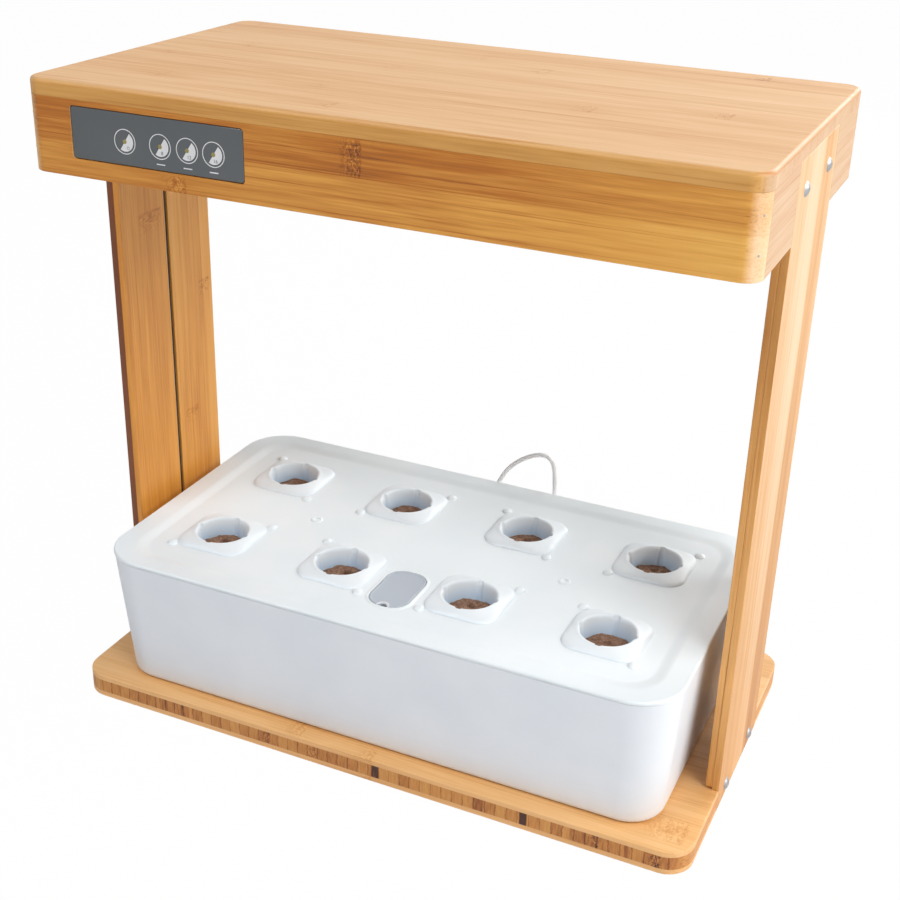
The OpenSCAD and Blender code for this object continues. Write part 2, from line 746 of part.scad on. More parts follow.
module lamp_cover_screws() {
    color("silver") for (c = cover_points)
        translate([c[0], c[1], cover_z]) small_screw(cover_t + cover_boss_h);
}

// ---------- power ----------

module driver_board() {
    color("darkgreen") {
        difference() {
            translate([driver_x - driver_w / 2, driver_y - driver_d / 2, driver_z])
                cube([driver_w, driver_d, board_t]);
            for (c = driver_points)
                translate([c[0], c[1], driver_z - 1])
                    cylinder(d = small_screw_d + 2 * pilot_gap, h = board_t + 2);
        }
        translate([driver_x, driver_y, driver_top]) {
            translate([driver_w / 2 - block_d, -block_w / 2, -eps]) cube([block_d, block_w, block_h]);
            translate([-driver_w / 2, -block_w / 2 - cable_block_off, -eps])
                cube([block_d, block_w, block_h]);
            translate([-block_w / 2, -driver_d / 2, -eps]) cube(block);
            translate([socket_x - driver_x - block_w / 2, driver_d / 2 - block_d, -eps]) cube(block);
            translate([-20, -9, -eps]) cube([18, 16, 12]);
            translate([24, 9, -eps]) cylinder(d = 8, h = 12);
            translate([8, 6, -eps]) cube([8, 6, 4]);
        }
    }
}

module power_socket() {
    color("black") translate([socket_x, half_d, socket_z]) rotate([90, 0, 0]) {
        difference() {
            union() {
                cylinder(d = socket_flange_d, h = socket_flange_t);
                cylinder(d = socket_d, h = socket_l);
            }
            translate([0, 0, -1]) cylinder(d = socket_bore_d, h = socket_l - 7);
        }
        cylinder(d = 2, h = socket_l - 1);
    }
}

module inlet_lead() {
    color("black") cord(inlet_route, cable_d, [1, 0, 0]);
}

module panel_lead() {
    color("black") cord(panel_route, cable_d, [1, 0, 0]);
}

module lamp_lead() {
    color("black") cord(lamp_route, cable_d, [0, 1, 0]);
}

module post_cable() {
    color("black") cord(cable_route, cable_d, [0, 1, 0]);
}

// ---------- tank ----------

module tank_tub() {
    color(plastic) translate([0, tank_y, 0]) difference() {
        union() {
            difference() {
                hull() {
                    layer(foot_w - 2 * tub_foot, foot_d - 2 * tub_foot, foot_r - tub_foot, base_t);
                    layer(foot_w - tub_foot / 2, foot_d - tub_foot / 2, foot_r - tub_foot / 4,
                        base_t + tub_foot / 3);
                    layer(foot_w, foot_d, foot_r, tub_foot_z);
                    layer(tub_w, tub_d, tub_r, tub_top - eps);
                }
                hull() {
                    layer(foot_w - 2 * tub_foot - tub_wall, foot_d - 2 * tub_foot - tub_wall,
                        foot_r - tub_foot, tub_floor);
                    layer(foot_w - 2 * tub_wall, foot_d - 2 * tub_wall, foot_r - tub_wall,
                        tub_foot_z + tub_wall);
                    layer(tub_w - 2 * tub_wall, tub_d - 2 * tub_wall, tub_r - tub_wall, tub_top);
                }
            }
            translate([lead_off, (pad_in + pad_out) / 2 - tank_y, lead_h])
                rod_y(grommet_d + 3, pad_out - pad_in);
        }
        translate([lead_off, (pad_in + pad_out) / 2 - tank_y, lead_h])
            rod_y(grommet_neck_d + 2 * joint_gap, 3 * (pad_out - pad_in));
    }
}

// plan of the flap, grown by g all round
module flap_plan(g) {
    outline(flap_w + 2 * g, flap_l + 2 * g, flap_r + g);
}

// sockets for the flap's pins, and room between them for the open flap
module hinge_room() {
    translate([0, hinge_y, hinge_z]) {
        rod_x(hinge_pin_d + 2 * hinge_play, 2 * socket_end);
        cube([2 * (open_half + open_play), flap_t + 2 * open_play, 2 * flap_t], center = true);
    }
}

module tank_lid() {
    tail_half = hinge_half + flap_gap - 0.1;
    color(plastic) {
        difference() {
            union() {
                translate([0, tank_y, lid_under]) slab(lid_w, lid_d, lid_edge_h, lid_corner_r);
                translate([0, tank_y, lip_z]) slab(lip_w, lip_d, lid_under - lip_z + eps, lip_r);
            }
            translate([0, tank_y, lip_z - 1])
                slab(lip_w - 2 * lip_t, lip_d - 2 * lip_t, field_z - lid_t - lip_z + 1, lip_r - lip_t);
            translate([0, tank_y, 0]) hull() {
                layer(lid_w - 2 * (rim_side_w + rim_slope_w), lid_d - 2 * (rim_front_w + rim_slope_w),
                    lid_corner_r - rim_slope_w - 6, field_z);
                layer(lid_w - 2 * rim_side_w, lid_d - 2 * rim_front_w, lid_corner_r - 8, rim_z);
            }
            for (c = pods)
                translate([c[0], c[1], field_z - lid_t - 1]) cylinder(r = cup_r + cup_gap, h = lid_t + 2);
            translate([0, flap_y, field_z - lid_t - 1]) linear_extrude(lid_t + 2) flap_plan(flap_gap);
            hinge_room();
        }
        for (i = [0:7]) {
            turn = (i < 4 ? i : i + 1) % 2 == 0 ? 1 : -1;
            for (s = [-1, 1])
                translate([pods[i][0] + s * dome_off, pods[i][1] + s * turn * dome_off, field_z])
                    cap(dome_d, dome_h);
        }
        for (s = [-1, 1]) translate([s * (pod_x[2] + pod_x[3]) / 2, tank_y, field_z - eps]) difference() {
            cylinder(d = ring_d, h = 0.7);
            cylinder(d = ring_d - 2.4, h = 1);
        }
        difference() {
            translate([0, flap_y, ledge_top - 1.8]) linear_extrude(flap_top - ledge_top + 1.8)
                flap_plan(flap_gap + flap_rim_w);
            translate([0, flap_y, ledge_top]) linear_extrude(10) flap_plan(flap_gap);
            translate([0, flap_y, ledge_top - 5]) linear_extrude(10) flap_plan(-ledge_w);
            translate([0, hinge_y, hinge_z]) rod_x(2 * tail_r, 2 * tail_half);
            hinge_room();
        }
    }
}

module filler_flap() {
    color("lightsteelblue") difference() {
        union() {
            translate([0, flap_y, flap_under]) linear_extrude(flap_t) flap_plan(0);
            translate([0, hinge_y, hinge_z]) rod_x(hinge_pin_d, 2 * socket_end - 0.4);
        }
        translate([0, flap_y - flap_l / 2, flap_under - 1]) cylinder(r = notch_r, h = flap_t + 2);
    }
}

// ---------- pods ----------

module pod_cup(i) {
    slope = (mouth_r - cup_foot_r) / (taper_z - cup_foot_z);
    color("white") translate([pods[i][0], pods[i][1], 0]) difference() {
        union() {
            translate([0, 0, collar_z]) linear_extrude(collar_edge_h) outline(collar_w, collar_w, collar_r);
            intersection() {
                translate([0, 0, collar_z]) linear_extrude(collar_h + 1)
                    outline(collar_w, collar_w, collar_r);
                translate([0, 0, collar_z]) rotate_extrude() polygon([[0, 0], [0, collar_h],
                    [mouth_r + 1.4, collar_h], [mouth_r + 2.6, collar_h - 0.4],
                    [collar_w / 2 - 0.6, collar_edge_h + 1], [collar_w / 2 + 3, collar_edge_h],
                    [collar_w, collar_edge_h], [collar_w, 0]]);
            }
            translate([0, 0, taper_z]) cylinder(r = cup_r, h = collar_z - taper_z + eps);
            translate([0, 0, cup_foot_z])
                cylinder(r1 = cup_foot_r + cup_wall, r2 = cup_r, h = taper_z - cup_foot_z);
        }
        translate([0, 0, taper_z - eps]) cylinder(r = mouth_r, h = collar_z + collar_h - taper_z + 1);
        translate([0, 0, cup_foot_z + cup_wall])
            cylinder(r1 = cup_foot_r + slope * cup_wall, r2 = mouth_r, h = taper_z - cup_foot_z - cup_wall);
        for (a = [0:90:270]) rotate(a) translate([0, -groove_w / 2, taper_z])
            cube([mouth_r + groove_t, groove_w, collar_z + collar_h]);
        for (a = [30:60:330]) rotate(a) translate([cup_foot_r - 3, -2, cup_foot_z + 6]) cube([12, 4, 22]);
        translate([0, 0, cup_foot_z - 1]) cylinder(r = cup_foot_r / 2, h = cup_wall + 2);
    }
}

module grow_sponge(i) {
    foot = cup_foot_z + cup_wall + sponge_gap;
    slope = (mouth_r - cup_foot_r) / (taper_z - cup_foot_z);
    foot_radius = cup_foot_r + slope * (foot - cup_foot_z) - sponge_gap;
    top_radius = mouth_r - slope * (taper_z - sponge_z) - sponge_gap;
    color("sienna") translate([pods[i][0], pods[i][1], foot])
        cylinder(r1 = foot_radius, r2 = top_radius, h = sponge_z - foot);
}

// ---------- pump ----------

module pump_body() {
    color("black") difference() {
        union() {
            translate([-pump_w / 2, pump_front, pump_z]) cube([pump_w, pump_d, pump_h]);
            translate([6, pump_front + 4, pump_axis_z]) cylinder(d = 8, h = pump_h / 2 + 9);
        }
        translate([0, pump_front + chamber_l / 2 - 1, pump_axis_z])
            rod_y(impeller_d + 2 * chamber_gap, chamber_l + 2);
        translate([0, pump_front + chamber_l + magnet_l / 2, pump_axis_z])
            rod_y(magnet_d + 2 * chamber_gap, magnet_l + 2 * eps);
        translate([0, (shaft_back + pump_front) / 2, pump_axis_z])
            rod_y(shaft_d + 2 * seat_play, shaft_back - pump_front);
        translate([6, pump_front + 4, pump_axis_z]) cylinder(d = 5, h = pump_h);
    }
}

module pump_chamber_cover() {
    y = pump_front - volute_t / 2;
    color("dimgray") translate([0, y, pump_axis_z]) difference() {
        cube([pump_w, volute_t, pump_h], center = true);
        difference() {
            rod_y(13, volute_t + 2);
            rod_y(6, volute_t + 4);
            for (a = [0, 60, 120]) rotate([0, a, 0]) cube([14, volute_t + 4, 1.5], center = true);
        }
        translate([0, volute_t / 2, 0]) rod_y(shaft_d + 2 * seat_play, 2 * (volute_t - 1));
    }
}

module pump_intake_grille() {
    front = pump_front - volute_t - grille_l;
    color("black") difference() {
        translate([-pump_w / 2, front, pump_z]) cube([pump_w, grille_l, pump_h]);
        translate([-pump_w / 2 + cage_wall, front + grille_l - filter_t - 0.2, pump_z + cage_wall])
            cube([pump_w - 2 * cage_wall, filter_t + 1, pump_h - 2 * cage_wall]);
        for (x = [-12:4:12])
            translate([x - 0.9, front - 1, pump_z + 4]) cube([1.8, grille_l, pump_h - 8]);
    }
}

module pump_filter_sponge() {
    front = pump_front - volute_t - filter_t;
    color("steelblue") translate([0, front + filter_t / 2, pump_axis_z])
        cube([pump_w - 2 * cage_wall - 0.4, filter_t - 0.2, pump_h - 2 * cage_wall - 0.4], center = true);
}

module pump_rotor() {
    disc_y = pump_front + chamber_l - chamber_gap;
    blade_l = chamber_l - 2 * chamber_gap - 1;
    color("gainsboro") translate([0, 0, pump_axis_z]) difference() {
        union() {
            translate([0, disc_y - 0.5, 0]) rod_y(impeller_d, 1);
            translate([0, disc_y - 1 - blade_l / 2, 0]) {
                rod_y(5, blade_l + eps);
                for (a = [0:60:120]) rotate([0, a, 0])
                    cube([impeller_d - 0.6, blade_l + eps, 1.2], center = true);
            }
            translate([0, disc_y + magnet_l / 2 - eps, 0]) rod_y(magnet_d, magnet_l);
        }
        translate([0, disc_y, 0]) rod_y(shaft_d + 2 * rotor_play, 4 * magnet_l);
    }
}

module pump_shaft() {
    color("silver") translate([0, (shaft_front + shaft_back) / 2, pump_axis_z])
        rod_y(shaft_d, shaft_back - shaft_front - 0.2);
}

module pump_suction_feet() {
    color("darkslategray") for (x = [-1, 1], y = [-1, 1])
        translate([x * (pump_w / 2 - 6), pump_y + y * (pump_d / 2 - 6), tub_floor])
            rotate_extrude() polygon([[0, 1], [3.4, 0], [5, 0], [3, 2], [2, foot_h], [0, foot_h]]);
}

module lead_grommet() {
    color("white") translate([lead_off, 0, lead_h]) difference() {
        union() {
            translate([0, pad_in - grommet_flange_t / 2, 0]) rod_y(grommet_d, grommet_flange_t);
            translate([0, (pad_in + pad_out) / 2, 0]) rod_y(grommet_neck_d, pad_out - pad_in + 2 * eps);
            translate([0, pad_out + grommet_flange_t / 2, 0]) rod_y(grommet_d, grommet_flange_t);
            translate([0, (pad_out + nose_end) / 2, 0]) rod_y(grommet_nose_d, nose_end - pad_out);
        }
        translate([0, (pad_in + pad_out) / 2, 0]) rod_y(2 * grommet_bore_r, 4 * (nose_end - pad_in));
    }
}

module pump_lead_inner() {
    color("white") cord(inner_lead_route, lead_d, [1, 0, 0]);
}

module pump_lead() {
    color("white") cord(lead_route, lead_d, [1, 0, 0]);
}

base_board();
post_outer_board(-1);  // left_post_outer_board
post_inner_board(-1, -1);  // left_post_inner_front_board
post_inner_board(-1, 1);  // left_post_inner_rear_board
post_outer_board(1);  // right_post_outer_board
post_inner_board(1, -1);  // right_post_inner_front_board
post_inner_board(1, 1);  // right_post_inner_rear_board
post_screws(fitting_z, upper_screw_l);  // upper_post_screws
post_screws(base_t / 2, post_outer_t + lower_screw_l);  // lower_post_screws
canopy_top_plate();
canopy_front_rail();
canopy_rear_rail();
canopy_side_rail(-1);  // canopy_left_rail
canopy_side_rail(1);  // canopy_right_rail
control_panel();
touch_board();
touch_key_springs();
lamp_tray();
lamp_tray_screws();
lamp_board();
lamp_chips();
board_screws();
lamp_cover();
lamp_cover_screws();
driver_board();
power_socket();
inlet_lead();
panel_lead();
lamp_lead();
post_cable();
tank_tub();
tank_lid();
filler_flap();
for (i = [0:7]) {
    pod_cup(i);
    grow_sponge(i);
}
pump_body();
pump_chamber_cover();
pump_filter_sponge();
pump_intake_grille();
pump_rotor();
pump_shaft();
pump_suction_feet();
lead_grommet();
pump_lead_inner();
pump_lead();
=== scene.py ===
import json
import math
import random
from functools import partial

import bmesh
import bpy
from mathutils import Matrix, Vector, noise

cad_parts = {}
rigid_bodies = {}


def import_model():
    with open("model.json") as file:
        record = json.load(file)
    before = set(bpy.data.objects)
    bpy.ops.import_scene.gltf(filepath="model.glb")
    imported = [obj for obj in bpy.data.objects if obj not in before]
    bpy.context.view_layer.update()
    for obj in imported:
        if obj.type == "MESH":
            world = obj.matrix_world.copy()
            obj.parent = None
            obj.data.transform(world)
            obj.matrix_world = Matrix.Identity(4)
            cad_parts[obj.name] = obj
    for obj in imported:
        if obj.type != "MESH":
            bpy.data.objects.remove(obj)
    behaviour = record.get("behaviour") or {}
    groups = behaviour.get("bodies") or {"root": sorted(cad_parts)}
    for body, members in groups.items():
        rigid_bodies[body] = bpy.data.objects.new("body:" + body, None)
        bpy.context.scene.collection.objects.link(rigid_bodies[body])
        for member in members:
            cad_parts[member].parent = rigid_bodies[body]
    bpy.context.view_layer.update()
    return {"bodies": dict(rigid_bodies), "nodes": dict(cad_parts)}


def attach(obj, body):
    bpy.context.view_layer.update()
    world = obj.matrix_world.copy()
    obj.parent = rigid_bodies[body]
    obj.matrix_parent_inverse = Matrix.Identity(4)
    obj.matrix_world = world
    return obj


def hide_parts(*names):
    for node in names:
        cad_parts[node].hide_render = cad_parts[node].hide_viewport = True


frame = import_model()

mm = 0.001
scene = bpy.context.scene
nodes = frame["nodes"]


def addObject(name, data):
    piece = bpy.data.objects.new(name, data)
    scene.collection.objects.link(piece)
    return piece


for thing in list(bpy.data.objects):
    if thing not in nodes.values() and thing not in frame["bodies"].values():
        bpy.data.objects.remove(thing)
print("frame loaded:", len(nodes), "nodes")


# seen from the front right, and from above
camera = {"place": (0.32109, -0.71387, 0.54419), "turn": (64.378, -1.461, 24.605), "lens": 57.27,
          "sensor": 36}
cameraData = bpy.data.cameras.new("camera")
cameraData.lens = camera["lens"]
cameraData.sensor_width = camera["sensor"]
cameraData.clip_start = 0.01
cameraObject = addObject("camera", cameraData)
cameraObject.location = camera["place"]
cameraObject.rotation_euler = [math.radians(a) for a in camera["turn"]]
scene.camera = cameraObject
scene.view_settings.view_transform = "Standard"


# the pump's lead: a loop up behind the tank's rear edge, down to the base, then into the left post
cordWay = {
    "points": ((36, 98, 85), (36, 101, 85.2), (36, 104.3, 87.2), (36, 106.3, 91.4), (36, 106.8, 98),
               (35.6, 106.8, 108), (34.8, 106.8, 116), (33, 106.8, 121.6), (28.6, 106.8, 125),
               (22.5, 106.8, 124.6), (14.3, 106.8, 120.8), (6, 106.8, 114.4), (0.4, 106.8, 107.9),
               (-4.6, 106.6, 98.9), (-12, 106, 84), (-24, 105, 64), (-40, 104, 44), (-60, 103, 28),
               (-84, 102, 18.6), (-110, 101, 16.5), (-140, 99, 16.5), (-162, 93, 16.5),
               (-177, 80, 16.5), (-184, 62, 16.5), (-185, 40, 16.5), (-184.8, 22, 16.5),
               (-185.6, 11, 17), (-188.2, 2.6, 19.8), (-191.2, 0, 23.5), (-193.3, 0, 29),
               (-193.9, 0, 34), (-193.9, 0, 38)),
    "diameter": 3, "length": 409}


def wayPoints(points, steps=8):
    last = len(points) - 1
    reaches = [(points[min(i + 1, last)] - points[max(i - 1, 0)]) / 6 for i in range(last + 1)]
    way = []
    for i in range(last):
        a, d = points[i], points[i + 1]
        b, c = a + reaches[i], d - reaches[i + 1]
        for k in range(steps):
            t = k / steps
            way.append(a * (1 - t) ** 3 + b * 3 * t * (1 - t) ** 2 + c * 3 * t * t * (1 - t) + d * t ** 3)
    return way + [points[-1]]


def smooth(mesh, angle):
    mesh.polygons.foreach_set("use_smooth", [True] * len(mesh.polygons))
    mesh.set_sharp_from_angle(angle=math.radians(angle))


def loft(rings, closed=False):  # open ends are capped
    count, faces = len(rings[0]), []
    points = [p for ring in rings for p in ring]
    for i in range(len(rings) if closed else len(rings) - 1):
        a, b = i * count, (i + 1) % len(rings) * count
        faces += [(a + k, a + (k + 1) % count, b + (k + 1) % count, b + k) for k in range(count)]
    if not closed:
        faces += [tuple(range(count))[::-1], tuple(range(len(points) - count, len(points)))]
    return points, faces


def tube(name, way, radius, sides=16):
    rings, normal = [], None
    for i, point in enumerate(way):
        along = (way[min(i + 1, len(way) - 1)] - way[max(i - 1, 0)]).normalized()
        if normal is None:
            normal = along.orthogonal().normalized()
        normal = (normal - along * normal.dot(along)).normalized()
        other = along.cross(normal)
        rings.append([point + (normal * math.cos(a) + other * math.sin(a)) * radius
                      for a in [2 * math.pi * k / sides for k in range(sides)]])
    points, faces = loft(rings)
    mesh = bpy.data.meshes.new(name)
    mesh.from_pydata(points, [], faces)
    smooth(mesh, 50)
    return addObject(name, mesh)


cordPath = wayPoints([Vector(p) * mm for p in cordWay["points"]])
pumpLead = tube("pumpLead", cordPath, cordWay["diameter"] / 2 * mm)
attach(pumpLead, "stand")
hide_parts("pump_lead")
print("free cord laid")


# colours are sRGB hex values, and patterns read Object coordinates in millimetres
def linear(code):
    parts = [int(code[i:i + 2], 16) / 255 for i in (0, 2, 4)]
    return [p / 12.92 if p <= 0.04045 else ((p + 0.055) / 1.055) ** 2.4 for p in parts] + [1]


def feed(node, inputs):  # a node given as a value stands for its first output
    for socket, value in inputs.items() if isinstance(inputs, dict) else enumerate(inputs):
        if isinstance(value, bpy.types.Node):
            value = value.outputs[0]
        if isinstance(value, bpy.types.NodeSocket):
            node.id_data.links.new(value, node.inputs[socket])
        else:
            node.inputs[socket].default_value = value
    return node


mainSetting = {"MapRange": "interpolation_type", "Mix": "data_type"}


# a short kind is a shader node, its second word is its operation or main setting, stops are a ramp's
def addNode(tree, kind, inputs=(), stops=(), **settings):
    kind, *word = kind.split()
    if word:
        settings[mainSetting.get(kind, "operation")] = word[0]
    node = tree.nodes.new(kind if "Node" in kind else "ShaderNode" + kind)
    for name, value in settings.items():
        setattr(node, name, value)
    for i, (at, code) in enumerate(stops):
        ramp = node.color_ramp.elements
        stop = ramp[i] if i < 2 else ramp.new(at)
        stop.position, stop.color = at, linear(code)
    return feed(node, inputs)


def addChain(add, made, rows):  # each row: name, kind, then numbers or the names of what is made
    for name, kind, *values in rows:
        made[name] = add(kind, [made.get(value, value) for value in values])


def newMaterial(name, **sockets):
    material = bpy.data.materials.new(name)
    material.use_nodes = True
    add = partial(addNode, material.node_tree)
    shader = feed(material.node_tree.nodes["Principled BSDF"],
                  {socket.replace("_", " "): value for socket, value in sockets.items()})
    place = add("TexCoord").outputs["Object"]
    return material, add, shader, add("VectorMath SCALE", {0: place, "Scale": 1 / mm})


def newGroup(name, kind, inputs, outputs):
    tree = bpy.data.node_groups.new(name, kind)
    for label, socketKind, value in inputs:
        socket = tree.interface.new_socket(name=label, in_out="INPUT",
                                           socket_type="NodeSocket" + socketKind)
        if value is not None:
            socket.default_value = value
    for label, socketKind in outputs:
        tree.interface.new_socket(name=label, in_out="OUTPUT", socket_type="NodeSocket" + socketKind)
    add = partial(addNode, tree)
    return tree, add, add("NodeGroupInput").outputs


# a noise whose cells are so many mm along, across and deep
def stretched(add, place, cell, kind="TexNoise", **inputs):
    cell = add("VectorMath MULTIPLY", (place, [1 / size for size in cell]))
    return add(kind, {"Vector": cell, "Scale": 1, **inputs})


def addRise(add, tone, source, start, full, low, high):
    return add("Math ADD", (tone, add("MapRange", (source, start, full, low, high))))


def facingAxes(add):  # how far a face looks along x, y and z
    normal = add("NewGeometry").outputs["Normal"]
    return add("SeparateXYZ", (add("VectorMath ABSOLUTE", (normal,)),)).outputs


# bamboo laminated from strips: each strip has its own tone, fine streaks and fibres run along it
def figureGroup():
    tree, add, given = newGroup(
        "bambooFigure", "ShaderNodeTree",
        (("Place", "Vector", None), ("Strip Width", "Float", 20), ("Strip Contrast", "Float", 0.4),
         ("Streak Contrast", "Float", 0.3), ("Seed", "Float", 0)),
        (("Tone", "Float"), ("Fibre", "Float")))
    along, across, deep = add("SeparateXYZ", (given["Place"],)).outputs
    lanes = add("Math DIVIDE", (across, given["Strip Width"]))
    lanes = add("Math ADD", (lanes, given["Seed"]))
    lot = add("TexWhiteNoise", {"W": add("Math FLOOR", (lanes,))}, noise_dimensions="1D")
    slide = add("Math MULTIPLY_ADD", (lot, 400, along))
    depth = add("Math MULTIPLY_ADD", (lot, 60, deep))
    moved = add("CombineXYZ", (slide, across, depth))
    streak, fibre, cloud, hair = [
        stretched(add, moved, (length, width, width), Detail=detail, Roughness=0.6, Distortion=0.25)
        for length, width, detail in ((70, 1.7, 4), (22, 0.9, 1), (120, 8, 2), (170, 1.1, 1))]
    hairline = add("MapRange", (hair, 0.6, 0.72))
    gap = add("Math PINGPONG", (add("Math FRACT", (lanes,)), 0.5))
    gap = add("Math MULTIPLY", (gap, given["Strip Width"]))
    seam = add("MapRange", (gap, 0.1, 0.55, 1, 0))  # the glue line, about 0.5 mm wide
    tone = add("Math SUBTRACT", (lot, 0.5))
    tone = add("Math MULTIPLY_ADD", (tone, given["Strip Contrast"], 0.5))
    total = 0.0
    for source, middle, weight in ((streak, 0.5, 0.9), (fibre, 0.5, 0.35), (cloud, 0.5, 0.9),
                                   (hairline, 0, -0.3), (seam, 0, -0.22)):
        shifted = add("Math SUBTRACT", (source, middle))
        total = add("Math MULTIPLY_ADD", (shifted, weight, total))
    tone = add("Math MULTIPLY_ADD", (total, given["Streak Contrast"], tone))
    add("NodeGroupOutput", (tone, fibre))
    return tree


# one knuckle: a curled patch that ends in a dark edge, with a faint halo
def markGroup():
    tree, add, given = newGroup(
        "knuckleMark", "ShaderNodeTree",
        (("Place", "Vector", None), ("Centre", "Vector", None), ("Half Size", "Vector", None),
         ("Strength", "Float", 1)),
        (("Mask", "Float"), ("Edge", "Float"), ("Halo", "Float")))
    ratio = add("VectorMath SUBTRACT", (given["Place"], given["Centre"]))
    ratio = add("VectorMath DIVIDE", (ratio, given["Half Size"]))
    signed = add("SeparateXYZ", (ratio,)).outputs[0]
    size = add("SeparateXYZ", (add("VectorMath ABSOLUTE", (ratio,)),)).outputs
    across = add("MapRange SMOOTHSTEP", (size[1], 0.7, 1.1, 1, 0))
    along = add("MapRange SMOOTHSTEP", (signed, -1.5, 0.5))
    halo = add("MapRange SMOOTHSTEP", (size[0], 0.5, 7, 1, 0))
    fade = add("MapRange", (signed, 0.85, 1.15, 1, 0))
    rise = add("MapRange", (signed, 0.78, 0.92))
    drop = add("MapRange", (signed, 0.98, 1.1, 1, 0))
    values = []
    for factors in ((across, along, fade), (across, rise, drop), (across, halo)):
        value = given["Strength"]
        for factor in factors:
            value = add("Math MULTIPLY", (value, factor))
        values.append(value)
    add("NodeGroupOutput", values)
    return tree


bambooFigure, knuckleMark = figureGroup(), markGroup()


def grainPlace(add, inMm, order):  # the first letter of the order is the axis along the fibres
    axes = add("SeparateXYZ", (inMm,)).outputs
    return add("CombineXYZ", [axes["xyz".index(axis)] for axis in order])


def addMarks(add, place, tone, marks):  # each mark: along, across, half its length and width, strength
    shake = add("TexNoise", {"Vector": place, "Scale": 0.7, "Detail": 1}).outputs["Color"]
    shake = add("VectorMath SUBTRACT", (shake, (0.5, 0.5, 0.5)))
    shaken = add("VectorMath MULTIPLY_ADD", (shake, (3, 2.2, 0), place))
    curl = stretched(add, shaken, (1.9, 3.6, 2), Detail=2, Distortion=1.6)
    curl = add("MapRange", (curl, 0.36, 0.64, -0.6, 0.3))
    total = None
    for along, across, halfLength, halfWidth, strength in marks:
        mark = add("Group", node_tree=knuckleMark)
        feed(mark, (shaken, (along, across, 0), (halfLength, halfWidth, 1e6), strength))
        ends = list(mark.outputs)
        total = [add("Math MAXIMUM", pair) for pair in zip(total, ends)] if total else ends
    for value, weight in zip(total or (), (curl, -0.3, -0.16)):
        tone = add("Math MULTIPLY_ADD", (value, weight, tone))
    return tone


# cut fibre ends show as dots in slips 7 mm long, 0.9 mm apart: coarser than real ones, so that they show
def endGrain(add, place, tone, facing, rim):
    share = add("MapRange", (facing, 0.25, 0.6, 0, 0.6))
    if rim:
        across = add("SeparateXYZ", (place,)).outputs[1]
        near = add("MapRange", (add("Math ABSOLUTE", (across,)), rim - 4, rim, 0.12, 1))
        share = add("Math MULTIPLY", (share, near))
    dots = stretched(add, place, (7, 0.9, 0.9), "TexVoronoi")
    dots = add("MapRange", (dots, 0.2, 0.5, -0.03, 0.2))
    return add("Math MULTIPLY_ADD", (share, dots, tone))


lacquer = {"IOR": 1.5, "Coat_Weight": 0.06, "Coat_Roughness": 0.25}


def lacquered(add, shader, colour, tone, fibre):  # a thin satin coat that lets the fibres be felt
    rough = add("MapRange", (tone, 0.2, 0.8, 0.5, 0.38))
    bump = add("Bump", {"Strength": 0.2, "Distance": 0.1 * mm, "Height": fibre})
    feed(shader, {"Base Color": colour, "Roughness": rough, "Normal": bump})


def bamboo(name, order, palette, seed=0.37, stripWidth=20, stripContrast=0.2, streakContrast=0.3,
           marks=(), bands=(), endRim=0, edges=(), climb=(), arrisShade=0):
    material, add, shader, inMm = newMaterial(name, **lacquer)
    place = grainPlace(add, inMm, order)
    figure = add("Group", node_tree=bambooFigure)
    feed(figure, (place, stripWidth, stripContrast, streakContrast, seed))
    tone = addMarks(add, place, figure.outputs["Tone"], marks)
    along, across = add("SeparateXYZ", (place,)).outputs[:2]
    for edge, soft, step in bands:  # a strip that is lighter or darker from one edge on
        tone = addRise(add, tone, across, edge - soft, edge + soft, 0, step)
    facing = facingAxes(add)
    tone = endGrain(add, place, tone, facing["xyz".index(order[0])], endRim)
    if climb:  # a slow change from one end to the other
        low, high, step = climb
        tone = addRise(add, tone, along, low, high, -step, step)
    colour = add("ValToRGB", (tone,), palette)
    for axis, edgePalette, start, full in edges:  # faces that look along this axis have their own tones
        share = add("MapRange", (facing["xyz".index(axis)], start, full))
        edgeColour = add("ValToRGB", (tone,), edgePalette)
        colour = add("Mix RGBA", {0: share, 6: colour, 7: edgeColour}).outputs[2]
    if arrisShade:  # a rounded edge between a top and an end is painted darker: painted shade that tones down its highlight
        share = add("Math MULTIPLY", (facing[0], facing[2]))
        share = add("MapRange", (share, 0.1, 0.4, 0, arrisShade))
        colour = add("Mix RGBA", {0: share, 6: colour, 7: linear(palette[1][1])}).outputs[2]
    lacquered(add, shader, colour, tone, figure.outputs["Fibre"])
    return material


# from the darkest fibre to the palest
paleBamboo = ((0, "8e5628"), (0.28, "c38748"), (0.5, "d6a66c"), (0.72, "deb27d"), (1, "e9c89a"))
goldenBamboo = ((0, "753b11"), (0.25, "b76c1c"), (0.5, "df9f45"), (0.75, "f0b95d"), (1, "ffe194"))
leftBamboo = ((0, "823f0a"), (0.28, "c87a23"), (0.5, "eba245"), (0.72, "f7b65a"), (1, "ffd382"))
# pale, less saturated peach: partly painted sheen, for faces turned to the light from the right
peachBamboo = ((0, "965940"), (0.25, "c18c64"), (0.5, "cda57b"), (0.72, "d3b18c"), (1, "d9bfa2"))
amberBamboo = ((0, "82491a"), (0.2, "bd8040"), (0.42, "d39c5b"), (0.62, "e3bd90"), (1, "ecd1b3"))
plateEdgeBamboo = ((0, "7a4416"), (0.25, "b3742c"), (0.5, "d29a50"), (0.75, "e0ae68"), (1, "f0cd98"))
postEdgeBamboo = ((0, "612f0a"), (0.2, "b57936"), (0.38, "e5aa64"), (0.5, "d3944a"), (0.62, "c27d34"),
                  (1, "d99b50"))
railEndBamboo = ((0, "ae8250"), (0.28, "d8a570"), (0.5, "ecbd8a"), (0.72, "f4cca0"), (1, "fadbb4"))
darkEdgeBamboo = ((0, "34180a"), (0.3, "6a3514"), (0.5, "83471f"), (0.75, "a05c2c"), (1, "c48a50"))
